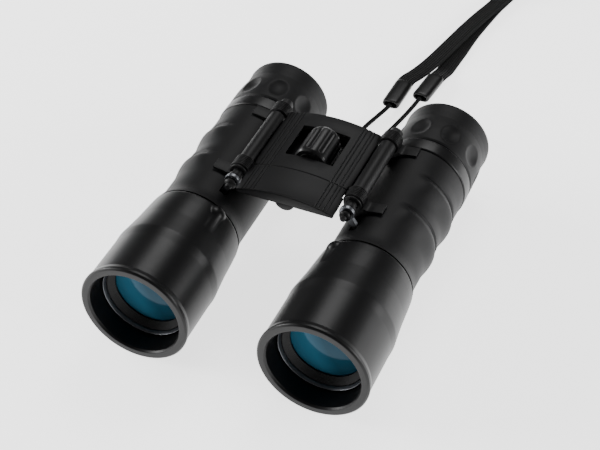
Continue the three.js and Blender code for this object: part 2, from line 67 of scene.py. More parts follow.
def linear(value):
    """A colour written as sRGB hex, in linear light."""
    channels = [int(value[i : i + 2], 16) / 255 for i in (1, 3, 5)]
    return tuple(
        c / 12.92 if c <= 0.04045 else ((c + 0.055) / 1.055) ** 2.4 for c in channels
    )


def add_node(tree, kind, settings=None, **links):
    """Adds a node, sets its sockets and options, and links its inputs."""
    node = tree.nodes.new(kind)
    for key, value in (settings or {}).items():
        if isinstance(key, int) or key in node.inputs:
            node.inputs[key].default_value = value
        else:
            setattr(node, key, value)
    for key, source in links.items():
        target = int(key[1:]) if key[1:].isdigit() else key.replace("_", " ")
        tree.links.new(source, node.inputs[target])
    return node


def new_material(name, **sockets):
    """A Principled material with its plain numbers on the shader's own sockets."""
    material = bpy.data.materials.new(name)
    material.use_nodes = True
    shader = material.node_tree.nodes["Principled BSDF"]
    for key, value in sockets.items():
        key = key.replace("_", " ")
        if key in ("Base Color", "Emission Color", "Specular Tint"):
            value = (*value, 1)
        shader.inputs[key].default_value = value
    return material, material.node_tree, shader


def grained(material, tree, shader, grain, depth, colours, roughness, vector=None):
    """Gives a surface its grain, its faint colour variation and its uneven gloss."""
    coordinates = add_node(tree, "ShaderNodeTexCoord")
    place = vector or coordinates.outputs["Object"]
    fine = add_node(
        tree, "ShaderNodeTexNoise", {"Scale": 1 / (grain * MM), "Detail": 3}, Vector=place
    )
    cloudy = add_node(tree, "ShaderNodeTexNoise", {"Scale": 55, "Detail": 4}, Vector=place)
    bump = add_node(
        tree, "ShaderNodeBump", {"Strength": 1, "Distance": depth * MM},
        Height=fine.outputs["Fac"],
    )
    tree.links.new(bump.outputs["Normal"], shader.inputs["Normal"])
    ramp = add_node(tree, "ShaderNodeValToRGB", Fac=cloudy.outputs["Fac"])
    for stop, position, colour in zip(ramp.color_ramp.elements, (0.3, 0.7), colours):
        stop.position = position
        stop.color = (*colour, 1)
    tree.links.new(ramp.outputs["Color"], shader.inputs["Base Color"])
    gloss = add_node(
        tree, "ShaderNodeMapRange", {"To Min": roughness[0], "To Max": roughness[1]},
        Value=cloudy.outputs["Fac"],
    )
    tree.links.new(gloss.outputs["Result"], shader.inputs["Roughness"])
    return material


def shade(colour, factor):
    return tuple(min(1, c * factor) for c in colour)


def moulded_rubber(colour):
    # Thermoplastic rubber from a bead-blasted mould: a soft broad sheen and a fine grain.
    parts = new_material("Moulded rubber", IOR=1.5, Specular_IOR_Level=0.2)
    return grained(*parts, 0.9, 0.012, (shade(colour, 0.85), shade(colour, 1.2)), (0.48, 0.58))


def soft_coat(colour):
    # Soft-touch enamel sprayed on a metal tube: smoother than the rubber, gentle highlights.
    parts = new_material("Soft-touch enamel", IOR=1.48, Specular_IOR_Level=0.26)
    return grained(*parts, 0.6, 0.004, (shade(colour, 0.9), shade(colour, 1.15)), (0.33, 0.4))


def moulded_abs(colour):
    # Injection-moulded ABS with a lightly etched face.
    parts = new_material("Moulded ABS", IOR=1.53, Specular_IOR_Level=0.26)
    return grained(*parts, 0.7, 0.006, (shade(colour, 0.85), shade(colour, 1.2)), (0.3, 0.42))


def powder_coat(colour):
    # Black powder coat on pressed aluminium: a matt, faintly pebbled skin.
    parts = new_material("Powder-coated aluminium", IOR=1.5, Specular_IOR_Level=0.22)
    return grained(*parts, 0.5, 0.008, (shade(colour, 0.85), shade(colour, 1.2)), (0.46, 0.56))


def black_oxide(colour):
    # Black oxide on turned steel: dark, with a dull oily sheen along the edges.
    parts = new_material("Black oxide steel", IOR=1.5, Specular_IOR_Level=0.26)
    return grained(*parts, 0.8, 0.004, (shade(colour, 0.8), shade(colour, 1.3)), (0.46, 0.54))


def chromed_steel(colour):
    # Nickel-chrome on steel: bright, with faint polishing marks.
    parts = new_material("Chromed steel", Metallic=1)
    return grained(*parts, 0.4, 0.001, (shade(colour, 0.92), shade(colour, 1.05)), (0.12, 0.2))


def anodised(colour):
    # Satin-anodised aluminium, turned: grey, with a soft metallic gloss.
    parts = new_material("Anodised aluminium", Metallic=1)
    return grained(*parts, 0.3, 0.002, (shade(colour, 0.9), shade(colour, 1.1)), (0.34, 0.44))


def flock_black(colour):
    # Dead-black baffle paint on fine threads inside the objective.
    parts = new_material("Baffle paint", IOR=1.45, Specular_IOR_Level=0.3)
    return grained(*parts, 0.4, 0.01, (shade(colour, 0.7), shade(colour, 1.3)), (0.4, 0.55))


def coated_glass(colour):
    """The front lens: its coating reflects blue and lets the rest through to the dark tube; the
    reflection is painted into the colour.
    """
    material, tree, shader = new_material(
        "Coated crown glass", Metallic=0.1, Roughness=0.1, IOR=1.5, Specular_IOR_Level=0.08
    )
    coordinates = add_node(tree, "ShaderNodeTexCoord")
    parts = add_node(tree, "ShaderNodeSeparateXYZ", Vector=coordinates.outputs["Object"])
    side = add_node(tree, "ShaderNodeMath", {"operation": "SIGN"}, _0=parts.outputs["X"])
    # Across each lens from its own axis: painted reflection, the colour turns from bright teal to
    # dark.
    across = add_node(
        tree, "ShaderNodeMath", {"operation": "MULTIPLY_ADD", 1: -BARREL_X * MM},
        _0=side.outputs[0], _2=parts.outputs["X"],
    )
    slanted = add_node(
        tree, "ShaderNodeMath", {"operation": "MULTIPLY_ADD", 1: 0.45},
        _0=parts.outputs["Z"], _2=across.outputs[0],
    )
    painted_reflection_band = add_node(
        tree, "ShaderNodeMapRange", {"From Min": -0.012, "From Max": 0.026},
        Value=slanted.outputs[0],
    )
    ramp = add_node(tree, "ShaderNodeValToRGB", Fac=painted_reflection_band.outputs["Result"])
    for stop, position, factor in zip(ramp.color_ramp.elements, (0.42, 0.62), (1, 0.5)):
        stop.position = position
        stop.color = (*shade(colour, factor), 1)
    tree.links.new(ramp.outputs["Color"], shader.inputs["Base Color"])
    return material


def clear_glass(colour):
    """Optical glass inside the tubes, faintly tinted by its coating."""
    material, tree, shader = new_material(
        "Optical glass", IOR=1.52, Transmission_Weight=0.85, Roughness=0.03
    )
    coordinates = add_node(tree, "ShaderNodeTexCoord")
    haze = add_node(
        tree, "ShaderNodeTexNoise", {"Scale": 60, "Detail": 2},
        Vector=coordinates.outputs["Object"],
    )
    ramp = add_node(tree, "ShaderNodeValToRGB", Fac=haze.outputs["Fac"])
    for stop, factor in zip(ramp.color_ramp.elements, (0.9, 1.0)):
        stop.color = (*shade(colour, factor), 1)
    tree.links.new(ramp.outputs["Color"], shader.inputs["Base Color"])
    return material


def woven(name, colour, pitch, slant, depth, sheen):
    """Yarn that runs in slanted rows both ways, read from the piece's own weave map."""
    material, tree, shader = new_material(
        name, IOR=1.45, Specular_IOR_Level=0.16, Sheen_Weight=sheen, Sheen_Roughness=0.4
    )
    weave = add_node(tree, "ShaderNodeUVMap", {"uv_map": "weave"})
    parts = add_node(tree, "ShaderNodeSeparateXYZ", Vector=weave.outputs["UV"])
    turns = math.tau / (pitch * MM)

    def rows(sign):
        across = add_node(
            tree, "ShaderNodeMath", {"operation": "MULTIPLY", 1: sign * slant * turns},
            _0=parts.outputs["Y"],
        )
        along = add_node(
            tree, "ShaderNodeMath", {"operation": "MULTIPLY_ADD", 1: turns},
            _0=parts.outputs["X"], _2=across.outputs[0],
        )
        wave = add_node(tree, "ShaderNodeMath", {"operation": "SINE"}, _0=along.outputs[0])
        return wave.outputs[0]

    crossed = add_node(
        tree, "ShaderNodeMath", {"operation": "MAXIMUM"}, _0=rows(1), _1=rows(-1)
    )
    height = add_node(
        tree, "ShaderNodeMapRange", {"From Min": -0.6, "From Max": 1}, Value=crossed.outputs[0]
    )
    bump = add_node(
        tree, "ShaderNodeBump", {"Distance": depth * MM}, Height=height.outputs["Result"]
    )
    tree.links.new(bump.outputs["Normal"], shader.inputs["Normal"])
    # Painted shade and highlight: the colour is darker in the hollows between the yarns and
    # lighter on their crowns.
    ramp = add_node(tree, "ShaderNodeValToRGB", Fac=height.outputs["Result"])
    for stop, factor in zip(ramp.color_ramp.elements, (0.45, 1.35)):
        stop.color = (*shade(colour, factor), 1)
    tree.links.new(ramp.outputs["Color"], shader.inputs["Base Color"])
    gloss = add_node(
        tree, "ShaderNodeMapRange", {"To Min": 0.85, "To Max": 0.7},
        Value=height.outputs["Result"],
    )
    tree.links.new(gloss.outputs["Result"], shader.inputs["Roughness"])
    return material


def polyester_webbing(colour):
    # Polyester webbing: slanted yarns cross in flat braids about 1.1 mm long.
    return woven("Polyester webbing", colour, 1.5, 0.9, 0.09, 0.15)


def braided_cord(colour):
    # Braided nylon cord, drawn with yarns a little coarser than the real ones.
    return woven("Braided nylon cord", colour, 1.1, 0.8, 0.06, 0.02)


MAKERS = {
    "armour": (moulded_rubber, "#0f0f10", "Armour rubber"),
    "bell": (soft_coat, "#0b0b0c", "Objective bells"),
    "plastic": (moulded_abs, "#0c0c0d", "Plastic parts"),
    "plate": (powder_coat, "#0e0e0f", "Bridge plates"),
    "steel": (black_oxide, "#080809", "Hinge pins and rods"),
    "chrome": (chromed_steel, "#b9bbbf", "Bright metal"),
    "metal": (anodised, "#6d6f73", "Objective cells"),
    "baffle": (flock_black, "#040405", "Baffles"),
    "coating": (coated_glass, "#2a566b", "Lens coating"),
    "glass": (clear_glass, "#dfe9ee", "Inner glass"),
    "webbing": (polyester_webbing, "#0c0c0c", "Strap webbing"),
    "cord": (braided_cord, "#070707", "Strap cords"),
    "sleeve": (moulded_abs, "#090909", "Strap sleeves"),
}


def finish(key):
    """The material for a finish, made once, in the colour set in the panel."""
    maker, _, label = MAKERS[key]
    tag = f"binoculars_{key}"
    for material in bpy.data.materials:
        if material.get("finish") == tag:
            return material
    material = maker(tuple(getattr(bpy.context.scene.binocular_colours, key)))
    material.name = label
    material["finish"] = tag
    return material


# ---------- modelling helpers, in millimetres ----------


def rounded(points, parts=4):
    """A closed outline whose (a, b, fillet) points have their corners rounded."""
    outline = []
    for i, point in enumerate(points):
        here = Vector(point[:2])
        if len(point) < 3:
            outline.append(tuple(here))
            continue
        before = Vector(points[i - 1][:2]) - here
        after = Vector(points[(i + 1) % len(points)][:2]) - here
        reach = point[2] / math.tan(before.angle(after) / 2)
        reach = min(reach, 0.45 * before.length, 0.45 * after.length)
        start = here + before.normalized() * reach
        end = here + after.normalized() * reach
        for k in range(parts + 1):
            t = k / parts
            outline.append(tuple(start * (1 - t) ** 2 + here * (2 * t * (1 - t)) + end * t * t))
    return outline


def refined(outline, step, low, high, least_radius):
    """Adds points to the long edges of an outline between two places on the axis."""
    result = []
    for here, after in zip(outline, outline[1:] + outline[:1]):
        result.append(here)
        inside = low <= min(here[1], after[1]) and max(here[1], after[1]) <= high
        count = int(math.dist(here, after) / step)
        if inside and count > 1 and min(here[0], after[0]) > least_radius:
            result += [tuple(Vector(here).lerp(Vector(after), k / count)) for k in range(1, count)]
    return result


def turned(outline, steps=LARGE_STEPS, is_ring=True):
    """A solid of revolution about Y from (radius, y) points."""
    bm = bmesh.new()
    verts = [bm.verts.new((radius, y, 0)) for radius, y in outline]
    edges = [bm.edges.new(pair) for pair in zip(verts, verts[1:])]
    if is_ring:
        edges.append(bm.edges.new((verts[-1], verts[0])))
    bmesh.ops.spin(
        bm, geom=verts + edges, cent=(0, 0, 0), axis=(0, 1, 0), angle=math.tau,
        steps=steps, use_merge=True,
    )
    bmesh.ops.remove_doubles(bm, verts=bm.verts[:], dist=1e-4)
    return bm


def carried(outlines, plane, start, end):
    """An outline, with holes if more are given, carried along the third axis."""
    order = {"XZ": (0, 2, 1), "XY": (0, 1, 2), "YZ": (1, 2, 0)}[plane]

    def spot(a, b, c):
        place = [0, 0, 0]
        for axis, value in zip(order, (a, b, c)):
            place[axis] = value
        return Vector(place)

    bm = bmesh.new()
    edges = []
    for outline in outlines:
        verts = [bm.verts.new(spot(a, b, start)) for a, b in outline]
        edges += [bm.edges.new((verts[i - 1], verts[i])) for i in range(len(verts))]
    bmesh.ops.triangle_fill(bm, use_beauty=True, use_dissolve=False, edges=edges)
    made = bmesh.ops.extrude_face_region(bm, geom=bm.faces[:], use_keep_orig=True)
    moved = [item for item in made["geom"] if isinstance(item, bmesh.types.BMVert)]
    bmesh.ops.translate(bm, verts=moved, vec=spot(0, 0, end - start))
    bmesh.ops.recalc_face_normals(bm, faces=bm.faces[:])
    return bm


def block(x, y, z, edge=0.25):
    """A box between two values on each axis, with eased edges."""
    bm = bmesh.new()
    bmesh.ops.create_cube(bm, size=1)
    bmesh.ops.scale(bm, verts=bm.verts[:], vec=(x[1] - x[0], y[1] - y[0], z[1] - z[0]))
    middle = ((x[0] + x[1]) / 2, (y[0] + y[1]) / 2, (z[0] + z[1]) / 2)
    bmesh.ops.translate(bm, verts=bm.verts[:], vec=middle)
    return eased(bm, edge) if edge else bm


def eased(bm, width, segments=2, least=35):
    """Rounds the sharp edges of a shape."""
    sharp = [
        e for e in bm.edges if e.is_manifold and e.calc_face_angle(0) > math.radians(least)
    ]
    bmesh.ops.bevel(
        bm, geom=sharp, offset=width, offset_type="OFFSET", affect="EDGES",
        segments=segments, profile=0.5, material=-1, clamp_overlap=True,
    )
    return bm


def added(bm, *others):
    """Puts the other shapes into the first one."""
    for other in others:
        mesh = bpy.data.meshes.new("part")
        other.to_mesh(mesh)
        other.free()
        bm.from_mesh(mesh)
        bpy.data.meshes.remove(mesh)
    return bm


def shaped(bm, move):
    """Moves every vertex by a function of its place."""
    for vert in bm.verts:
        vert.co = move(vert.co)
    return bm


def moved(bm, x=0.0, y=0.0, z=0.0):
    bmesh.ops.translate(bm, verts=bm.verts[:], vec=(x, y, z))
    return bm


def on_side(bm, side):
    """A shape made for the barrel at +X, or its mirror image."""
    if side < 0:
        bmesh.ops.scale(bm, verts=bm.verts[:], vec=(-1, 1, 1))
    return bm


def on_barrel(bm, side):
    return moved(on_side(bm, side), side * BARREL_X, 0, BARREL_Z)


def grid(columns, rows, spot):
    """A sheet of faces with its (column, row) vertices put where spot says."""
    bm = bmesh.new()
    bm.loops.layers.uv.new("weave")
    bmesh.ops.create_grid(bm, x_segments=columns, y_segments=rows, size=1, calc_uvs=True)
    for vert in bm.verts:
        vert.co = spot(
            round((vert.co.x + 1) / 2 * columns), round((vert.co.y + 1) / 2 * rows)
        )
    return bm


def swept(frames, section, along, across):
    """A closed section carried along frames, with a weave map in real metres."""
    count = len(section)

    def spot(i, j):
        centre, side, up = frames[i]
        u, v = section[j % count]
        return centre + side * u + up * v

    bm = grid(len(frames) - 1, count, spot)
    weave = bm.loops.layers.uv["weave"]
    last = len(frames) - 1
    for face in bm.faces:
        for loop in face.loops:
            u, v = loop[weave].uv
            loop[weave].uv = (along[round(u * last)] * MM, across[round(v * count)] * MM)
    bmesh.ops.remove_doubles(bm, verts=bm.verts[:], dist=1e-4)
    bmesh.ops.holes_fill(bm, edges=[e for e in bm.edges if e.is_boundary], sides=0)
    return bm


def piece(name, bm, key, body, slot, nodes=(), crease=32):
    """Makes the finished object, hangs it on the body it rides on, and hides the imported parts it
    stands for.
    """
    bmesh.ops.scale(bm, verts=bm.verts[:], vec=(MM, MM, MM))
    bmesh.ops.recalc_face_normals(bm, faces=bm.faces[:])
    mesh = bpy.data.meshes.new(name)
    bm.to_mesh(mesh)
    bm.free()
    mesh.shade_smooth()
    mesh.set_sharp_from_angle(angle=math.radians(crease))
    mesh.materials.append(finish(key))
    obj = bpy.data.objects.new(name, mesh)
    bpy.context.scene.collection.objects.link(obj)
    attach(obj, body)
    if nodes:
        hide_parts(*nodes)
    return obj


def cut_out(obj, cutter):
    """Cuts a shape in millimetres out of a finished piece."""
    bmesh.ops.scale(cutter, verts=cutter.verts[:], vec=(MM, MM, MM))
    mesh = bpy.data.meshes.new("cutter")
    cutter.to_mesh(mesh)
    cutter.free()
    tool = bpy.data.objects.new("cutter", mesh)
    bpy.context.scene.collection.objects.link(tool)
    modifier = obj.modifiers.new("Cut", "BOOLEAN")
    modifier.object = tool
    modifier.solver = "EXACT"
    result = bpy.data.meshes.new_from_object(obj.evaluated_get(
        bpy.context.evaluated_depsgraph_get()
    ))
    obj.modifiers.clear()
    obj.data = result
    bpy.data.objects.remove(tool)
    result.set_sharp_from_angle(angle=math.radians(32))


def smooth_step(value):
    value = max(0.0, min(1.0, value))
    return value * value * (3 - 2 * value)


def polar(radius, degrees):
    angle = math.radians(degrees)
    return radius * math.cos(angle), radius * math.sin(angle)


def through(points, step):
    """Points about a step apart on a smooth curve through the given ones."""
    points = [Vector(p) for p in points]
    ends = [2 * points[0] - points[1], *points, 2 * points[-1] - points[-2]]
    path = []
    for before, start, end, after in zip(ends, ends[1:], ends[2:], ends[3:]):
        gap = (end - start).length
        leave = (end - before) * (gap / ((start - before).length + gap))
        arrive = (after - start) * (gap / ((after - end).length + gap))
        count = max(2, round(gap / step))
        for k in range(count):
            t = k / count
            path.append(
                start * (2 * t**3 - 3 * t**2 + 1) + leave * (t**3 - 2 * t**2 + t)
                + end * (3 * t**2 - 2 * t**3) + arrive * (t**3 - t**2)
            )
    return path + [points[-1]]


def distances(path):
    total, result = 0.0, [0.0]
    for here, after in zip(path, path[1:]):
        total += (after - here).length
        result.append(total)
    return result


def tangents(path):
    ends = [path[0], *path, path[-1]]
    return [(c - a).normalized() for a, c in zip(ends, ends[2:])]


# ---------- settings ----------


def length(name, description, default, **limits):
    return bpy.props.FloatProperty(
        name=name, description=description, default=default * MM, min=0,
        unit="LENGTH", precision=5, **limits,
    )


class BinocularSizes(bpy.types.PropertyGroup):
    """Sizes of the visible detail."""

    ridge_height: length("Ridge height", "How far a finger ridge stands out of the grip", 1.15)
    lip_height: length("Lip height", "Height of the thin lip behind each finger ridge", 0.3)
    dimple_depth: length("Dimple depth", "Depth of the finger dimples in the eyepiece ring", 1.5)
    groove_depth: length("Groove depth", "Depth of the lengthwise grooves in the bridge", 0.3)
    knuckle_rib: length("Knuckle rib", "Height of the fine ribs on the hinge knuckles", 0.3)
    lobe_depth: length("Wheel recess depth", "Depth of the long recesses in the wheel", 0.38)
    webbing_width: length("Webbing width", "Width of the strap's webbing", 8.5)
    webbing_thickness: length("Webbing thickness", "Thickness of the strap's webbing", 1.2)
    cord_diameter: length("Cord diameter", "Diameter of the strap's thin cords", 2)
    floor_size: bpy.props.FloatProperty(
        name="Floor size", description="Length of the floor's side", default=6, unit="LENGTH"
    )


def colour(key):
    _, value, label = MAKERS[key]
    return bpy.props.FloatVectorProperty(
        name=label, description=f"Colour of: {label.lower()}", subtype="COLOR", size=3,
        min=0, max=1, default=linear(value),
    )


class BinocularColours(bpy.types.PropertyGroup):
    """Colours of the finishes."""

    armour: colour("armour")
    bell: colour("bell")
    plastic: colour("plastic")
    plate: colour("plate")
    steel: colour("steel")
    chrome: colour("chrome")
    metal: colour("metal")
    baffle: colour("baffle")
    coating: colour("coating")
    glass: colour("glass")
    webbing: colour("webbing")
    cord: colour("cord")
    sleeve: colour("sleeve")


def size(key):
    """A size from the panel, in millimetres."""
    return getattr(bpy.context.scene.binocular_sizes, key) / MM


# ---------- stage ----------

CAMERA_TARGET = Vector((0.001036, -0.001944, 0.023))
CAMERA_AZIMUTH = 0.420653585
CAMERA_ELEVATION = 0.737047208
CAMERA_ROLL = -0.0127183
CAMERA_DISTANCE = 0.667008
CAMERA_LENS = 97.93
WORLD_STRENGTH = 0.1
FLOOR_GLOW = 2.1  # the lit paper sweep, as a table lit from below
# name, place, width, height, power
SOFTBOXES = (
    ("Left softbox", (-0.95, -0.1, 0.35), 0.9, 0.35, 16),
    ("Right softbox", (0.95, 0.15, 0.3), 0.9, 0.3, 10),
    ("Top softbox", (-0.1, 0.7, 0.9), 0.5, 0.3, 4),
)


def add_camera():
    a, e, r = CAMERA_AZIMUTH, CAMERA_ELEVATION, CAMERA_ROLL
    back = Vector((math.sin(a) * math.cos(e), -math.cos(a) * math.cos(e), math.sin(e)))
    level = Vector((math.cos(a), math.sin(a), 0))
    rise = back.cross(level)
    right = level * math.cos(r) + rise * math.sin(r)
    up = rise * math.cos(r) - level * math.sin(r)
    data = bpy.data.cameras.new("Camera")
    data.sensor_fit = "HORIZONTAL"
    data.sensor_width = 36
    data.lens = CAMERA_LENS
    camera = bpy.data.objects.new("Camera", data)
    place = Matrix((right, up, back)).transposed().to_4x4()
    place.translation = CAMERA_TARGET + back * CAMERA_DISTANCE
    camera.matrix_world = place
    bpy.context.scene.collection.objects.link(camera)
    bpy.context.scene.camera = camera


def add_softbox(name, place, target, width, height, power):
    data = bpy.data.lights.new(name, "AREA")
    data.shape = "RECTANGLE"
    data.size, data.size_y, data.energy = width, height, power
    light = bpy.data.objects.new(name, data)
    light.location = place
    direction = Vector(target) - Vector(place)
    light.rotation_euler = direction.to_track_quat("-Z", "Y").to_euler()
    bpy.context.scene.collection.objects.link(light)


def add_floor(side):
    bm = bmesh.new()
    bmesh.ops.create_grid(bm, x_segments=1, y_segments=1, size=side / 2)
    mesh = bpy.data.meshes.new("Floor")
    bm.to_mesh(mesh)
    bm.free()
    # White paper sweep: matt, with a hardly visible tooth.
    parts = new_material(
        "White paper", Specular_IOR_Level=0.1, Emission_Color=(1, 1, 1),
        Emission_Strength=FLOOR_GLOW,
    )
    white = linear("#f7f7f7")
    mesh.materials.append(grained(*parts, 3, 0.01, (shade(white, 0.995), white), (0.9, 0.95)))
    floor = bpy.data.objects.new("Floor", mesh)
    floor.location.z = -0.0002
    bpy.context.scene.collection.objects.link(floor)


def add_world():
    world = bpy.data.worlds.new("Studio")
    world.use_nodes = True
    background = world.node_tree.nodes["Background"]
    background.inputs["Color"].default_value = (1, 1, 1, 1)
    background.inputs["Strength"].default_value = WORLD_STRENGTH
    bpy.context.scene.world = world


class BINOCULARS_OT_stage(bpy.types.Operator):
    """Adds the camera, the pale floor and the soft studio lights"""

    bl_idname = "binoculars.stage"
    bl_label = "Stage"

    def execute(self, context):
        add_camera()
        add_world()
        add_floor(context.scene.binocular_sizes.floor_size)
        for name, place, width, height, power in SOFTBOXES:
            add_softbox(name, place, (0, 0, 0.02), width, height, power)
        return {"FINISHED"}


# ---------- neck strap ----------

RIGHT_CORD = (
    (-2.2, 35.3, 37.5), (-2.2, 37, 36.7), (-2.3, 38.8, 34), (-2.4, 41, 29.4), (-2.5, 44, 23.6),
    (-2.7, 47.8, 17.6), (-2.9, 52.5, 11.9), (-3.3, 58, 7), (-4, 64, 3.5), (-5.2, 70.5, 1.6),
    (-7, 77.5, 1.12), (-8.5, 85, 1.02), (-8.3, 92.5, 1.02), (-6.5, 100, 1.16), (-4, 107.5, 2),
    (-3, 111.2, 2.4),
)
LEFT_CORD = (
    (2.2, 35.3, 37.5), (2.2, 37, 36.7), (2.2, 38.8, 34), (2.2, 41, 29.4), (2.2, 44, 23.6),
    (2.1, 47.8, 17.6), (2, 52.5, 11.9), (1.8, 58, 7), (1.5, 64, 3.5), (1.2, 70.5, 1.6),
    (1.1, 78, 1.12), (1.5, 86, 1.02), (3, 94, 1.02), (4.6, 102.5, 1.02), (6, 110.5, 1.12),
    (7.4, 118, 1.9), (7.9, 121.4, 2.4),
)
RIGHT_RUN = (
    (-2.65, 128.9, 2.4), (-2.2, 132.5, 2.4), (0.1, 138.5, 2.2), (2.8, 147, 2.25), (5, 156.5, 2.3),
    (6.9, 166.5, 2.3), (8.6, 175.5, 2.3), (10.4, 184.5, 2.3), (12.9, 195.5, 2.3),
)
LEFT_RUN = (
    (9.57, 139, 2), (10, 142.5, 1.5), (10.8, 147.5, 0.7), (11.5, 158, 0.65),
    (12, 166, 0.65), (12.3, 175, 0.65), (13.1, 185, 0.65), (14.4, 196, 0.65),
)
# The middle of the two runs where they lie on each other, up to the roll. Their heights
# are set again from the twist.
STACK = (
    (15.8, 206.2, 1.48), (18.1, 217, 1.5), (20, 226.5, 2.1), (21.4, 234, 3.3),
    (22.5, 240, 4.4), (23.4, 245.6, 4.85),
)
TWIST = (50, 35.6)  # distances from the roll between which the runs turn on edge
FLAT_Z, EDGE_Z = 1.48, 4.85  # the runs' middle height when flat and when on edge
ROLL_CENTRE = Vector((-8.4, 257.2, 4.85))
ROLL_RADIUS = 34.7
ROLL_START = math.radians(-20)
ROLL_TURNS = 0.9
LAYER = 1.65  # from one layer of webbing to the next
ROLL_STEP = 0.06  # radians between the roll's points
BEND_STEPS = 24  # points round each half of the S in the roll's middle


def roll_spot(turn, radius):
    return ROLL_CENTRE + Vector((radius * math.cos(turn), radius * math.sin(turn), 0))


def twist_at(place):
    away = math.hypot(place.x - ROLL_CENTRE.x, place.y - ROLL_CENTRE.y)
    return smooth_step((away - TWIST[0]) / (TWIST[1] - TWIST[0])) * math.pi / 2


def strip_frames(path):
    """The centre, width direction and thickness direction along the webbing."""
    result = []
    for here, ahead in zip(path, tangents(path)):
        twist = twist_at(here)
        level = ahead.cross(Vector((0, 0, 1))).normalized()
        side = level * math.cos(twist) + level.cross(ahead) * math.sin(twist)
        result.append((here, side, side.cross(ahead)))
    return result


def webbing_path():
    """From the right sleeve to the roll, round it, and back to the left sleeve."""
    stack = through(STACK, 2)
    for place in stack:
        twist = twist_at(place)
        place.z = FLAT_Z * math.cos(twist) + EDGE_Z * math.sin(twist)
    inner, outer = [], []
    for here, _, up in strip_frames(stack):
        inner.append(here + up * (LAYER / 2))
        outer.append(here - up * (LAYER / 2))
    end = ROLL_START + math.tau * ROLL_TURNS
    fall = 2 * LAYER / math.tau  # each turn passes over two layers
    arms = []
    for first, last in ((ROLL_RADIUS - LAYER, end), (ROLL_RADIUS, end + math.pi)):
        count = int((last - ROLL_START) / ROLL_STEP)
        turns = [ROLL_START + (last - ROLL_START) * k / count for k in range(1, count + 1)]
        arms.append([roll_spot(t, first - fall * (t - ROLL_START)) for t in turns])
    half = (arms[0][-1] - ROLL_CENTRE).length / 2
    middle = []
    for sign in (1, -1):
        centre = roll_spot(end, sign * half)
        for k in range(1, BEND_STEPS):
            turn = end + sign * math.pi * k / BEND_STEPS
            middle.append(centre + Vector((math.cos(turn), math.sin(turn), 0)) * half)
        if sign > 0:
            middle.append(ROLL_CENTRE.copy())
    start = [Vector(p) for p in RIGHT_RUN]
    finish_run = [Vector(p) for p in reversed(LEFT_RUN)]
    whole = [
        *start, *inner[::2], *arms[0][::2], *middle[::3], *reversed(arms[1][::2]),
        *reversed(outer[::2]), *finish_run,
    ]
    return through(whole, 1.5)


def web_section(width, thickness, ribs=7, parts=8):
    """A flat woven band whose faces swell between the binding threads."""
    count = ribs * parts
    face = []
    for k in range(count + 1):
        u = -width / 2 + 0.3 + (width - 0.6) * k / count
        swell = abs(math.sin(math.pi * ribs * k / count))
        face.append((u, thickness / 2 - 0.22 * (1 - swell**0.6)))
    edge = [(width / 2, 0.0)]
    under = [(u, -v) for u, v in reversed(face)]
    return face + edge + under + [(-width / 2, 0.0)]


class BINOCULARS_OT_strap_cords(bpy.types.Operator):
    """Adds the two thin cords that tie the strap to the bar behind the bridge"""

    bl_idname = "binoculars.strap_cords"
    bl_label = "Strap cords"

    def execute(self, context):
        diameter = size("cord_diameter")
        sides = 14
        section = [polar(diameter / 2, 360 * k / sides) for k in range(sides)]
        across = [k * math.pi * diameter / sides for k in range(sides + 1)]
        for name, points in (("right", RIGHT_CORD), ("left", LEFT_CORD)):
            path = through(points, 1.2)
            frames = []
            for here, ahead in zip(path, tangents(path)):
                side = ahead.cross(Vector((1, 0, 0.01))).normalized()
                frames.append((here, side, side.cross(ahead)))
            along = distances(path)
            obj = piece(
                f"{name}_thin_cord", swept(frames, section, along, across), "cord",
                "bridge", "strap_cord", [f"{name}_strap_cord"], crease=60,
            )
        return {"FINISHED"}


class BINOCULARS_OT_strap_webbing(bpy.types.Operator):
    """Adds the ribbed webbing, from one sleeve round the roll to the other"""

    bl_idname = "binoculars.strap_webbing"
    bl_label = "Strap webbing"

    def execute(self, context):
        width = size("webbing_width")
        section = web_section(width, size("webbing_thickness"))
        across = [section[k % len(section)][0] for k in range(len(section) + 1)]
        path = webbing_path()
        frames = strip_frames(path)
        middle = min(range(len(path)), key=lambda i: (path[i] - ROLL_CENTRE).length)
        for name, run, nodes in (
            ("right", frames[: middle + 1], ["right_strap_webbing", "strap_roll"]),
            ("left", frames[: middle - 1 : -1], ["left_strap_webbing"]),
        ):
            line = [centre for centre, _, _ in run]
            along = distances(line)
            obj = piece(
                f"{name}_neck_webbing", swept(run, section, along, across), "webbing",
                "bridge", "strap_webbing", nodes, crease=60,
            )
        return {"FINISHED"}


SLEEVES = (("right", (-3, 111.6, 2.4), -0.02), ("left", (8, 121.8, 2.4), -0.09))


def oval(width, height, count=40, power=2.6):
    """A flattened oval outline."""
    points = []
    for k in range(count):
        c, s = polar(1, 360 * k / count)
        points.append((
            width / 2 * math.copysign(abs(c) ** (2 / power), c),
            height / 2 * math.copysign(abs(s) ** (2 / power), s),
        ))
    return points


def sleeve():
    """A flattened tube along Y with rolled lips at both open ends."""
    stations = [  # y, width, height
        (0.5, 6.0, 2.5), (0.12, 6.4, 2.9), (0, 7, 3.5), (0.12, 7.7, 4.15), (0.6, 8.1, 4.5),
        (1.6, 8.2, 4.6), (9, 8.2, 4.6), (15.9, 8.2, 4.6), (16.9, 8.1, 4.5), (17.38, 7.7, 4.15),
        (17.5, 7, 3.5), (17.38, 6.4, 2.9), (17, 6.0, 2.5),
    ]
    rings = [oval(width, height) for _, width, height in stations]
    count = len(rings[0])

    def spot(i, j):
        ring = rings[i % len(stations)]
        x, z = ring[j % count]
        return Vector((x, stations[i % len(stations)][0], z))

    bm = grid(len(stations), count, spot)
    bmesh.ops.remove_doubles(bm, verts=bm.verts[:], dist=1e-4)
    return bm


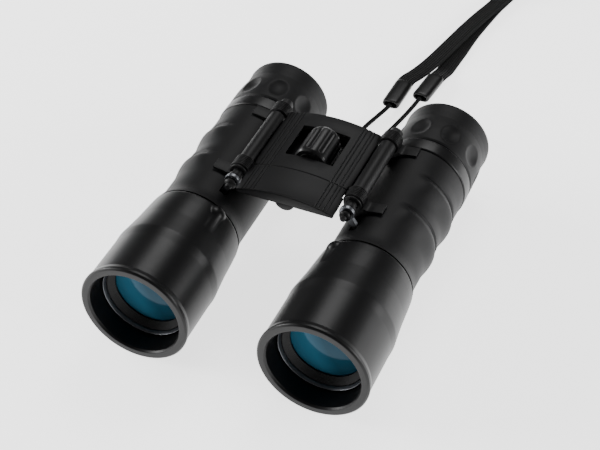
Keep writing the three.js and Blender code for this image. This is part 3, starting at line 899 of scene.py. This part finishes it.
class BINOCULARS_OT_strap_sleeves(bpy.types.Operator):
    """Adds the two sliding sleeves and the rubber tie round the rolled strap"""

    bl_idname = "binoculars.strap_sleeves"
    bl_label = "Strap sleeves and tie"

    def execute(self, context):
        for name, front, heading in SLEEVES:
            bm = sleeve()
            turn = Matrix.Rotation(heading, 3, "Z")
            bmesh.ops.rotate(bm, verts=bm.verts[:], cent=(0, 0, 0), matrix=turn)
            piece(
                f"{name}_sliding_sleeve", moved(bm, *front), "sleeve", "bridge",
                "sleeve_plastic", [f"{name}_strap_sleeve"],
            )
        low, high = (value / MM for value in (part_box("strap_tie")[0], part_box("strap_tie")[1]))
        outer = rounded([
            (low.y, low.z, 1), (high.y, low.z, 1), (high.y, high.z, 1), (low.y, high.z, 1),
        ])
        wall = 0.55
        inner = rounded([
            (low.y + wall, low.z + wall, 0.6), (high.y - wall, low.z + wall, 0.6),
            (high.y - wall, high.z - wall, 0.6), (low.y + wall, high.z - wall, 0.6),
        ])
        tie = eased(carried([outer, inner], "YZ", low.x, high.x), 0.12)
        piece("strap_roll_tie", tie, "armour", "bridge", "tie_rubber", ["strap_tie"])
        return {"FINISHED"}


# ---------- barrels ----------

BELL_PROFILE = (
    (22.3, -74.5, 0.5), (23, -73.9, 0.5), (23, -72.8, 1), (22.5, -71, 2), (22.4, -51, 14),
    (22.6, -46.5, 8), (21.9, -41, 20), (21.2, -35, 20), (20.5, -26, 20), (20.1, -21.9, 1),
    (19.5, -21, 0.3), (17.1, -21), (17.1, -31), (18.8, -36), (18.8, -66),
    (19.2, -73.6, 0.6), (19.9, -74.5, 0.3),
)
STUD = (130, -23.5, 3.5, 1.5)  # degrees from outward, y, radius and height of the bell's stud


def with_stud(place):
    """Swells the bell into the small domed stud on its inner upper side."""
    degrees, y, reach, height = STUD
    radius = math.hypot(place.x, place.z)
    if radius < 19.3 or abs(place.y - y) > reach:
        return place
    angle = math.degrees(math.atan2(place.z, place.x)) - degrees
    gap = math.hypot(math.radians(angle) * radius, place.y - y) / reach
    if gap >= 1:
        return place
    rise = height * (1 - gap**2) ** 0.75
    return Vector((place.x * (1 + rise / radius), place.y, place.z * (1 + rise / radius)))


class BINOCULARS_OT_objective_bells(bpy.types.Operator):
    """Adds the flared bell round each objective"""

    bl_idname = "binoculars.objective_bells"
    bl_label = "Objective bells"

    def execute(self, context):
        for name, side in SIDES.items():
            outline = refined(rounded(BELL_PROFILE, 6), 0.7, -28, -20, 19.2)
            bell = shaped(turned(outline, 256), with_stud)
            piece(
                f"{name}_bell", on_barrel(bell, side), "bell", f"{name}_barrel",
                "housing_coat", [f"{name}_objective_housing"], crease=40,
            )
        return {"FINISHED"}


LENS_RADIUS, LENS_STEPS = 16, 10


class BINOCULARS_OT_objective_lenses(bpy.types.Operator):
    """Adds each objective's cell, threaded retainer and coated lenses"""

    bl_idname = "binoculars.objective_lenses"
    bl_label = "Objective lenses"

    def execute(self, context):
        cell = (
            (17.2, -64.3), (17.9, -65.8, 0.15), (18.3, -65.2), (18.3, -42), (14.9, -42),
            (14.9, -53.5), (16.3, -53.5), (16.3, -59.9), (17.4, -59.9), (17.2, -64.2),
        )
        threads = []
        count = 7
        for k in range(count):
            low, high = k / count, (k + 0.55) / count
            for t, lift in ((low, 0.0), (high, 0.22)):
                threads.append((14.8 + 1.9 * t + lift, -61.5 - 2.7 * t))
        retainer = [(17, -64.2), (17, -60.9), (14.8, -60.9), *threads, (16.7, -64.2)]

        def bowed(start, bow, thickness, end_bow):
            """A lens outline with a curved front and back."""
            steps = [k / LENS_STEPS for k in range(LENS_STEPS + 1)]
            face = [(LENS_RADIUS * t, start + bow * t**2) for t in steps]
            back = [(LENS_RADIUS * t, start + thickness + end_bow * t**2) for t in steps]
            return face + back[::-1]

        for name, side in SIDES.items():
            body = f"{name}_objective_group"
            for part, outline, is_ring, key, slot in (
                ("cell", rounded(cell), True, "metal", "satin_metal"),
                ("retainer", retainer, True, "baffle", "black_metal"),
                ("crown", bowed(-62.4, 2.2, 6.4, -2.2), False, "coating", "coated_glass"),
                ("flint", bowed(-55.7, -2.2, 1.9, -0.3), False, "coating", "coated_glass"),
            ):
                piece(
                    f"{name}_lens_{part}", on_barrel(turned(outline, 128, is_ring), side), key,
                    body, slot, [f"{name}_objective_{part}"],
                )
        return {"FINISHED"}


ARMOUR_RADII = ((-20.7, 19.8), (-19.6, 19.55), (-17.5, 19), (-15.6, 18.7), (-14, 18.6),
                (14, 18.65), (30, 18.85), (40.5, 19.1))
# Each finger ridge: the y of its crest, and where it fades out over the top, in degrees.
RIDGES = ((3.6, 86, 62), (23.2, 82, 56))
RIDGE_RUN, RIDGE_DROP = 9.5, 3.9
GROOVE_SINK, LIP_RUN = 0.35, 0.7  # the crease behind a ridge, and the lip that closes it
LOW_FADE = (-120, -90)


def armour_radius(y):
    for (y0, r0), (y1, r1) in zip(ARMOUR_RADII, ARMOUR_RADII[1:]):
        if y <= y1:
            return r0 + (r1 - r0) * max(0, (y - y0) / (y1 - y0))
    return ARMOUR_RADII[-1][1]


def ridge_rise(y, crest, height, lip):
    """A gentle rise, a steep fall to a sharp crease, and a thin lip behind it."""
    t = (y - crest) / (RIDGE_RUN if y < crest else RIDGE_DROP)
    if -1 < t < 0:
        return height * 0.5 * (1 + math.cos(math.pi * t))
    if 0 <= t < 1:
        return (height + GROOVE_SINK) * math.cos(math.pi / 2 * t) ** 1.1 - GROOVE_SINK
    back = y - crest - RIDGE_DROP
    if back < 0:
        return 0.0
    if back < LIP_RUN:
        return (lip + GROOVE_SINK) * smooth_step(back / LIP_RUN) - GROOVE_SINK
    return lip * (1 - smooth_step((back - LIP_RUN) / 6))


def armour_point(place, height, lip):
    radius = math.hypot(place.x, place.z)
    if radius < 18.4:
        return place
    angle = math.degrees(math.atan2(place.z, place.x))
    rise = 0.0
    for crest, gone, full in RIDGES:
        fade = smooth_step((gone - angle) / (gone - full))
        fade *= smooth_step((angle - LOW_FADE[0]) / (LOW_FADE[1] - LOW_FADE[0]))
        rise += fade * ridge_rise(place.y, crest, height, lip)
    return Vector((place.x * (1 + rise / radius), place.y, place.z * (1 + rise / radius)))


def hinge_block(side, reach, half, y):
    """A block square to the line from the optical axis to the hinge."""
    bm = block(reach, y, (-half, half), edge=0)
    angle = math.atan2(HINGE_Z - BARREL_Z, HINGE_X - BARREL_X)
    turn = Matrix.Rotation(-angle, 3, "Y")
    bmesh.ops.rotate(bm, verts=bm.verts[:], cent=(0, 0, 0), matrix=turn)
    bm = on_barrel(bm, side)
    bmesh.ops.recalc_face_normals(bm, faces=bm.faces[:])
    return bm


class BINOCULARS_OT_rubber_armour(bpy.types.Operator):
    """Adds the rubber grip with its finger ridges, over a plain metal tube"""

    bl_idname = "binoculars.rubber_armour"
    bl_label = "Rubber armour"

    def execute(self, context):
        height, lip = size("ridge_height"), size("lip_height")
        rows = 118
        first, last = ARMOUR_RADII[0][0], ARMOUR_RADII[-1][0]
        ys = [first + (last - first) * k / rows for k in range(rows + 1)]
        outline = [(armour_radius(y), y) for y in ys]
        outline += [(18.1, last), (18.1, first)]
        tube = [(16.8, -30), (16.8, -20.7), (17.8, -20.7), (17.8, 46), (16.4, 46),
                (16.4, -19.7), (15.6, -19.7), (15.6, -30)]
        for name, side in SIDES.items():
            bm = shaped(turned(outline), lambda place: armour_point(place, height, lip))
            armour = piece(
                f"{name}_grip", on_barrel(bm, side), "armour", f"{name}_barrel",
                "rubber_armour", [f"{name}_barrel_armour"], crease=50,
            )
            shell = piece(
                f"{name}_tube", on_barrel(turned(tube, 96), side), "bell", f"{name}_barrel",
                "barrel_shell", [f"{name}_barrel_body"],
            )
            for obj in (armour, shell):
                cut_out(obj, hinge_block(side, (14, 23), 1.8, (-12.85, -6.65)))
        return {"FINISHED"}


DIMPLE_PHASE = {"right": 40, "left": 29}
DIMPLE_COUNT = 9
DIMPLE_Y = 56.2
DIMPLE_HALF = (5.6, 4.3)  # half length along the barrel, half width round it


def dimpled(place, phase, depth):
    """Presses the oval finger dimples into the eyepiece ring."""
    radius = math.hypot(place.x, place.z)
    if radius < 17.5:
        return place
    pitch = 360 / DIMPLE_COUNT
    angle = math.degrees(math.atan2(place.z, place.x)) - phase
    angle = (angle + pitch / 2) % pitch - pitch / 2
    gap = math.hypot(
        math.radians(angle) * radius / DIMPLE_HALF[1], (place.y - DIMPLE_Y) / DIMPLE_HALF[0]
    )
    if gap >= 1:
        return place
    drop = depth * (1 - gap**2)
    return Vector((place.x * (1 - drop / radius), place.y, place.z * (1 - drop / radius)))


class BINOCULARS_OT_eyepieces(bpy.types.Operator):
    """Adds each eyepiece's flange, dimpled ring, rubber eyecup, tube and lenses"""

    bl_idname = "binoculars.eyepieces"
    bl_label = "Eyepieces"

    def execute(self, context):
        flange = rounded([
            (18.1, 40.9), (19.2, 40.9, 0.3), (19.5, 41.4, 0.4), (19.5, 47, 0.4),
            (19.2, 47.5, 0.3), (18.1, 47.5),
        ])
        ring = refined(rounded([
            (16.6, 47.9), (18.9, 47.9, 0.5), (19.4, 49, 1), (19.5, 56, 20), (19.2, 61, 14),
            (18.7, 65.6), (16.6, 65.6),
        ], 6), 0.5, 47.9, 65.6, 18)
        eyecup = rounded([
            (18.7, 65.6), (18.7, 69, 5), (19, 72.5, 1.6), (18.8, 73.9, 0.5),
            (18, 74.5, 0.6), (15.5, 74.5, 0.6), (14.9, 73.6, 0.6), (14.2, 67.2, 0.6),
            (10, 67.2, 0.3), (10, 65.6),
        ], 6)
        tube = rounded([
            (16.1, 27), (16.1, 64, 0.4), (9.5, 64, 0.3), (9.5, 62.2), (11.4, 62.2),
            (11.4, 55), (14.2, 53), (14.2, 27),
        ])
        lens = [(11.1 * k / 8, 55.6 + 1.8 * (k / 8) ** 2) for k in range(9)]
        lens += [(11.1 * k / 8, 61.7 - 1.3 * (k / 8) ** 2) for k in range(8, -1, -1)]
        depth = size("dimple_depth")
        for name, side in SIDES.items():
            barrel = f"{name}_barrel"
            optics = "right_eyepiece" if name == "right" else barrel
            twist = "right_dioptre" if name == "right" else barrel
            twist_node = "right_dioptre_ring" if name == "right" else "left_eyepiece_ring"
            made = turned(ring, 288)
            shaped(moved(made), lambda place: dimpled(place, DIMPLE_PHASE[name], depth))
            # The dimples' places are given from +X, so this ring isn't mirrored.
            moved(made, side * BARREL_X, 0, BARREL_Z)
            piece(
                f"{name}_dimpled_ring", made, "armour", twist, "eyecup_rubber",
                [twist_node], crease=50,
            )
            for part, outline, is_ring, key, body, slot, node in (
                ("flange_band", flange, True, "plastic", barrel, "black_plastic",
                 "eyepiece_flange"),
                ("rubber_cup", eyecup, True, "armour", twist, "eyecup_rubber", "eyecup"),
                ("eye_tube", tube, True, "steel", optics, "black_metal", "eyepiece_barrel"),
                ("ocular_lens", lens, False, "coating", optics, "coated_glass", "eye_lens"),
            ):
                piece(
                    f"{name}_{part}", on_barrel(turned(outline, 160, is_ring), side), key,
                    body, slot, [f"{name}_{node}"],
                )
        return {"FINISHED"}


# ---------- hinges ----------

FRONT_EAR, REAR_EAR = (-3.5, 2.5), (34.6, 40.6)
HINGE_OUT, HINGE_UP = HINGE_X - BARREL_X, HINGE_Z - BARREL_Z
EAR_KNUCKLE, SLEEVE_RADIUS = 3.9, 4.0  # the ear's round end, just inside its ribbed sleeve


def ear_outline():
    """Round the hinge pin, then out over the barrel in an S to a thin tip."""
    knuckle = [polar(EAR_KNUCKLE, degrees) for degrees in range(200, -31, -6)]
    return [
        *((HINGE_OUT + x, HINGE_UP + z) for x, z in knuckle),
        *rounded([
            (-9.3, 19.9, 1.2), (-7.2, 18.9, 2), (-4.6, 19.5, 4), (-0.6, 20.1, 0.3),
            (-0.6, 19.3, 0.2), (-4.6, 18.5, 4), (-9, 16, 8), (-13.6, 11.5), (-15.2, 12.6),
            (-16.4, 19.2),
        ])[0:-1],
        (-16.6, 19.4),
    ]


def ribbed(inner, outer, y, rib, count=7):
    """A knuckle sleeve with fine ribs round it."""
    crests = []
    step = (y[1] - y[0]) / count
    for k in range(count):
        start = y[0] + k * step
        crests += [(outer, start + 0.12 * step), (outer + rib, start + 0.32 * step),
                   (outer + rib, start + 0.68 * step), (outer, start + 0.88 * step)]
    return [(inner, y[0]), *crests, (inner, y[1])]


class BINOCULARS_OT_hinges(bpy.types.Operator):
    """Adds the ears, ribbed knuckles, tubes, pins and bushes of both hinges"""

    bl_idname = "binoculars.hinges"
    bl_label = "Hinges"

    def execute(self, context):
        rib = size("knuckle_rib")
        pin = rounded([
            (2.3, 28), (2.3, 41.2), (2.8, 41.2, 0.2), (2.8, 44.3, 0.35), (1.5, 44.3, 0.25),
            (1.5, 43.2),
        ])
        pin = [(0, 28), *pin, (0, 43.2)]
        bush = rounded([
            (2.5, -4.6), (3.8, -4.6, 0.2), (3.8, -3.9, 0.15), (3, -3.9), (3, 2.6), (2.5, 2.6),
        ])
        tube = rounded([(2.6, 2.9), (3.5, 2.9, 0.2), (3.5, 34.2, 0.2), (2.6, 34.2)])
        for name, side in SIDES.items():
            barrel = f"{name}_barrel"
            for place, span, bore in (("front", FRONT_EAR, 3.35), ("rear", REAR_EAR, 2.7)):
                middle = (span[0] + 0.25, span[1] - 0.25)
                ear = eased(carried([ear_outline()], "XZ", *middle), 0.3, 3, 28)
                piece(f"{name}_{place}_ear", on_barrel(ear, side), "steel", barrel,
                      "barrel_shell")
                knuckle = turned(ribbed(bore, SLEEVE_RADIUS, span, rib), SMALL_STEPS)
                moved(knuckle, side * HINGE_X, 0, HINGE_Z)
                piece(f"{name}_{place}_knuckle", knuckle, "steel", barrel, "barrel_shell")
            for part, outline, is_ring, nodes in (
                ("pin_stub", pin, False, [f"{name}_hinge_pin"]),
                ("flanged_bush", bush, True, [f"{name}_hinge_bush"]),
                ("hinge_tube", tube, True, []),
            ):
                bm = moved(turned(outline, SMALL_STEPS, is_ring), side * HINGE_X, 0, HINGE_Z)
                obj = piece(f"{name}_{part}", bm, "steel", "bridge", "black_metal", nodes)
                if part == "hinge_tube":
                    span = sorted((side * 18, side * 23.5))
                    cut_out(obj, block(span, (16.7, 23.3), (42.7, 46), edge=0))
        return {"FINISHED"}


# ---------- bridge ----------

PLATE_HALF, PLATE_Y = 20.9, (-15, 38)
WINDOW_HALF, WINDOW_Y = 10.4, (9.6, 29.3)
WELL_HALF = 7.7  # the base closes in on the wheel below the window
# The base's lips beside the wheel slope in under it.
WELL_LIP = ((7.7, 42.2), (9, 42.2), (9, 41.4), (5.6, 38.1), (4.4, 38.9))
ARCH_TOP, ARCH_RADIUS = 49.4, 67
GROOVES = (13.3, 14.7, 16.7, 18.1)
GROOVE_HALF = 0.28
STEP_Y = 1.0  # the fine line across the plate
BASE_Z = (41.2, 42.2)


def arch(x):
    return ARCH_TOP - ARCH_RADIUS + math.sqrt(ARCH_RADIUS**2 - x * x)


def top_plate(depth):
    """The arched plate with its grooves, its window and its notches for the ears."""
    marks = {0, 3.5, 7, WINDOW_HALF, 11.6, 20.2, PLATE_HALF}
    for place in GROOVES:
        marks |= {place - GROOVE_HALF, place - 0.1, place + 0.1, place + GROOVE_HALF}
    xs = sorted(marks | {-x for x in marks})
    ys = sorted({
        *PLATE_Y, *WINDOW_Y, STEP_Y - 0.3, STEP_Y - 0.1, STEP_Y + 0.1, STEP_Y + 0.3,
        FRONT_EAR[0] - 0.6, FRONT_EAR[1] + 0.6, REAR_EAR[0] - 0.6,
    })

    def spot(i, j):
        x, y = xs[i], ys[j]
        sunk = any(abs(abs(x) - place) < 0.2 for place in GROOVES) or abs(y - STEP_Y) < 0.2
        return Vector((x, y, arch(x) - (depth if sunk else 0)))

    bm = grid(len(xs) - 1, len(ys) - 1, spot)
    gone = []
    for face in bm.faces:
        middle = face.calc_center_median()
        in_window = abs(middle.x) < WINDOW_HALF and WINDOW_Y[0] < middle.y < WINDOW_Y[1]
        by_ear = abs(middle.x) > 20.2 and any(
            span[0] - 0.6 < middle.y < span[1] + 0.6 for span in (FRONT_EAR, REAR_EAR)
        )
        if in_window or by_ear:
            gone.append(face)
    bmesh.ops.delete(bm, geom=gone, context="FACES")
    bmesh.ops.recalc_face_normals(bm, faces=bm.faces[:])
    if sum(face.normal.z for face in bm.faces) < 0:
        bmesh.ops.reverse_faces(bm, faces=bm.faces[:])
    made = bmesh.ops.extrude_face_region(bm, geom=bm.faces[:], use_keep_orig=True)
    lowered = [item for item in made["geom"] if isinstance(item, bmesh.types.BMVert)]
    bmesh.ops.translate(bm, verts=lowered, vec=(0, 0, -1))
    bmesh.ops.recalc_face_normals(bm, faces=bm.faces[:])
    return eased(bm, 0.16, 2, 60)


def front_edge():
    """The thick front edge of the plate."""
    steps = 20
    curve = [PLATE_HALF * (1 - 2 * k / steps) for k in range(steps + 1)]
    outline = [(x, arch(x) - 0.3) for x in curve]
    outline += [(-PLATE_HALF, 44.5), (PLATE_HALF, 44.5)]
    return eased(carried([outline], "XZ", PLATE_Y[0], PLATE_Y[0] + 1.2), 0.2)


def boss():
    """The half-round housing of the focus spindle below the plate."""
    def cup(top):
        half = math.degrees(math.asin((top - WHEEL_Z) / 4.3))
        return [
            (x, WHEEL_Z + z)
            for x, z in (polar(4.3, half - (180 + 2 * half) * k / 30) for k in range(31))
        ]
    rear = carried([cup(47.9)], "XZ", -13.5, 9.3)
    front = carried([cup(44.2)], "XZ", -14.7, -13.5)
    return added(eased(rear, 0.15), eased(front, 0.3))


def base_plate():
    half = [
        (19.4, -12), (19.4, -4.3), (17.2, -4.3), (17.2, 2.9), (23, 2.9), (23, 33.8),
        (17.2, 33.8), (17.2, 38),
    ]
    outline = half + [(-x, y) for x, y in reversed(half)]
    window = [
        (-WELL_HALF, WINDOW_Y[0]), (WELL_HALF, WINDOW_Y[0]),
        (WELL_HALF, WINDOW_Y[1]), (-WELL_HALF, WINDOW_Y[1]),
    ]
    bm = eased(carried([outline, window], "XY", *BASE_Z), 0.2)
    parts = [
        eased(carried([[(side * x, z) for x, z in WELL_LIP]], "XZ", *WINDOW_Y), 0.15)
        for side in (-1, 1)
    ]
    parts += [
        block((-19.4, 19.4), (-12, -11), (BASE_Z[0], 44.75)),
        block((-6, 6), (37, 38), (BASE_Z[0], 47.9)),
    ]
    for side in (-1, 1):
        for y in ((3, 16.5), (23.5, 33.7)):
            parts.append(block(sorted((side * 19.4, side * 21.7)), y, (BASE_Z[0], 44.7)))
        lug = rounded([(31, 42.6), (31, 38, 2), (32.6, 35.8, 1.4), (37, 35.8, 1.6), (37, 42.6)])
        parts.append(eased(carried([lug], "YZ", *sorted((side * 4.4, side * 6))), 0.2))
    return added(bm, *parts)


class BINOCULARS_OT_bridge(bpy.types.Operator):
    """Adds the arched top plate, the base under it, its boss and the strap bar"""

    bl_idname = "binoculars.bridge"
    bl_label = "Bridge"

    def execute(self, context):
        piece("arched_plate", top_plate(size("groove_depth")), "plate", "bridge",
              "bridge_paint", ["bridge_top_plate"])
        piece("plate_front_edge", front_edge(), "plate", "bridge", "bridge_paint")
        piece("spindle_boss", boss(), "plate", "bridge", "black_metal")
        piece("base_under_plate", base_plate(), "plate", "bridge", "black_metal",
              ["bridge_base"])
        bar = [(0.7, -6.4), (0.9, -6.2), (0.9, 6.2), (0.7, 6.4)]
        bar = turned([(0, -6.4), *bar, (0, 6.4)], 32, False)
        quarter = Matrix.Rotation(math.pi / 2, 3, "Z")
        bmesh.ops.rotate(bar, verts=bar.verts[:], cent=(0, 0, 0), matrix=quarter)
        piece("strap_anchor_bar", moved(bar, 0, 34, 37.6), "chrome", "bridge",
              "bright_steel", ["strap_bar"])
        return {"FINISHED"}


# ---------- focusing ----------

WHEEL_RADIUS = 7.2
LOBES = 8
RECESS_Y = (13.4, 26.2)  # centres of the recess's rounded ends
RECESS_HALF = 1.0
RECESS_TURN = 12  # degrees from +X to the middle of the first recess


def recessed(place, depth):
    """Presses the long rounded recesses into the wheel."""
    radius = math.hypot(place.x, place.z)
    if radius < 5:
        return place
    pitch = 360 / LOBES
    angle = math.degrees(math.atan2(place.z, place.x)) - RECESS_TURN
    angle = (angle + pitch / 2) % pitch - pitch / 2
    beyond = max(RECESS_Y[0] - place.y, 0, place.y - RECESS_Y[1])
    gap = math.hypot(math.radians(angle) * WHEEL_RADIUS, beyond) / RECESS_HALF
    swell = 0.1 * (1 - math.cos(math.radians(angle) * LOBES))
    drop = 0.1 - swell + depth * smooth_step((1.4 - gap) / 0.8)
    return Vector((place.x * (1 - drop / radius), place.y, place.z * (1 - drop / radius)))


class BINOCULARS_OT_focus_wheel(bpy.types.Operator):
    """Adds the lobed focus wheel and its spindle"""

    bl_idname = "binoculars.focus_wheel"
    bl_label = "Focus wheel"

    def execute(self, context):
        depth = size("lobe_depth")
        outline = refined(rounded([
            (1.9, 10.9), (4.6, 10.9, 0.2), (5, 10.5, 0.2), (6.6, 10.5, 0.4), (7.2, 11.4, 0.7),
            (7.2, 26.2, 3), (6.1, 28.4, 1.6), (3.6, 28.9, 0.4), (1.9, 28.9),
        ], 6), 0.35, 11, 28, 5)
        wheel = shaped(turned(outline, 240), lambda place: recessed(place, depth))
        piece("lobed_wheel", moved(wheel, 0, 0, WHEEL_Z), "plastic", "focus_wheel",
              "black_plastic", ["focus_wheel"], crease=45)
        spindle = [(0, -13.8), (1.3, -13.8), (1.6, -13.5), (1.6, 38.3), (1.3, 38.6), (0, 38.6)]
        piece("threaded_spindle", moved(turned(spindle, 32, False), 0, 0, WHEEL_Z), "chrome",
              "focus_wheel", "bright_steel", ["focus_spindle"])
        return {"FINISHED"}


def lever(side):
    """The strip inside the barrel, its post through the slot and its eye on the rod."""
    reach = math.hypot(HINGE_OUT, HINGE_UP)
    eye = turned(rounded([(1.95, -10.5), (3.2, -10.5, 0.15), (3.2, -9, 0.15), (1.95, -9)]), 40)
    moved(eye, side * HINGE_X, 0, HINGE_Z)
    return added(
        eye,
        hinge_block(side, (13.1, 14.5), 1.9, (-49, -8.95)),
        hinge_block(side, (13.1, reach - 2.2), 1.2, (-10.55, -8.95)),
    )


class BINOCULARS_OT_focus_rods(bpy.types.Operator):
    """Adds the rods inside the hinges, with their ball ends, and the levers they carry"""

    bl_idname = "binoculars.focus_rods"
    bl_label = "Focus rods and levers"

    def execute(self, context):
        ball = [(2.45 * math.sin(t), -12.1 - 1.35 * math.cos(t))
                for t in (0.55 + 0.19 * k for k in range(11))]
        outline = [
            (0, -14.6), (0.95, -14.6), (1.2, -14.4), (1.4, -13.5), *ball, (1.6, -10.8),
            (1.6, -8.5), (2.6, -8.5), (2.8, -8.3), (2.8, -7.3), (2.6, -7.1), (2.2, -7.1),
            (2.2, 24), (0, 24),
        ]
        for name, side in SIDES.items():
            rod = moved(turned(outline, 48, False), side * HINGE_X, 0, HINGE_Z)
            piece(f"{name}_ball_rod", rod, "plate", "focus_carriage", "black_metal",
                  [f"{name}_focus_rod"])
            piece(f"{name}_lens_lever", lever(side), "metal", f"{name}_objective_group",
                  "satin_metal", [f"{name}_focus_lever"])
        return {"FINISHED"}


# ---------- inner parts ----------

KEPT_FINISHES = {
    "prism_cage": "baffle", "prism_front": "glass", "prism_roof": "glass",
    "field_lens": "glass", "lever_screw": "chrome", "focus_yoke": "steel",
    "bridge_screw_1": "chrome", "bridge_screw_2": "chrome",
}


class BINOCULARS_OT_inner_parts(bpy.types.Operator):
    """Gives the carried-over inner parts their finishes"""

    bl_idname = "binoculars.inner_parts"
    bl_label = "Inner parts"

    def execute(self, context):
        for node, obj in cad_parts.items():
            key = next((k for part, k in KEPT_FINISHES.items() if node.endswith(part)), None)
            if key and not obj.hide_render:
                for material_slot in obj.material_slots:
                    material_slot.material = finish(key)
        return {"FINISHED"}


# ---------- add-on ----------


class BINOCULARS_PT_pieces(bpy.types.Panel):
    """Lists the sizes, the colours and the pieces"""

    bl_label = "Folding binoculars"
    bl_space_type = "VIEW_3D"
    bl_region_type = "UI"
    bl_category = "Binoculars"

    def draw(self, context):
        for settings in (context.scene.binocular_sizes, context.scene.binocular_colours):
            column = self.layout.column()
            for key in settings.__annotations__:
                column.prop(settings, key)
        for operator in OPERATORS:
            self.layout.operator(operator.bl_idname)


OPERATORS = (
    BINOCULARS_OT_stage,
    BINOCULARS_OT_strap_cords,
    BINOCULARS_OT_strap_webbing,
    BINOCULARS_OT_strap_sleeves,
    BINOCULARS_OT_objective_bells,
    BINOCULARS_OT_objective_lenses,
    BINOCULARS_OT_rubber_armour,
    BINOCULARS_OT_eyepieces,
    BINOCULARS_OT_hinges,
    BINOCULARS_OT_bridge,
    BINOCULARS_OT_focus_wheel,
    BINOCULARS_OT_focus_rods,
    BINOCULARS_OT_inner_parts,
)
CLASSES = (BinocularSizes, BinocularColours, *OPERATORS, BINOCULARS_PT_pieces)


def register():
    for item in CLASSES:
        bpy.utils.register_class(item)
    bpy.types.Scene.binocular_sizes = bpy.props.PointerProperty(type=BinocularSizes)
    bpy.types.Scene.binocular_colours = bpy.props.PointerProperty(type=BinocularColours)


def unregister():
    del bpy.types.Scene.binocular_colours
    del bpy.types.Scene.binocular_sizes
    for item in reversed(CLASSES):
        bpy.utils.unregister_class(item)


def main():
    register()
    for operator in OPERATORS:
        group, name = operator.bl_idname.split(".")
        getattr(getattr(bpy.ops, group), name)()


if __name__ == "__main__":
    main()
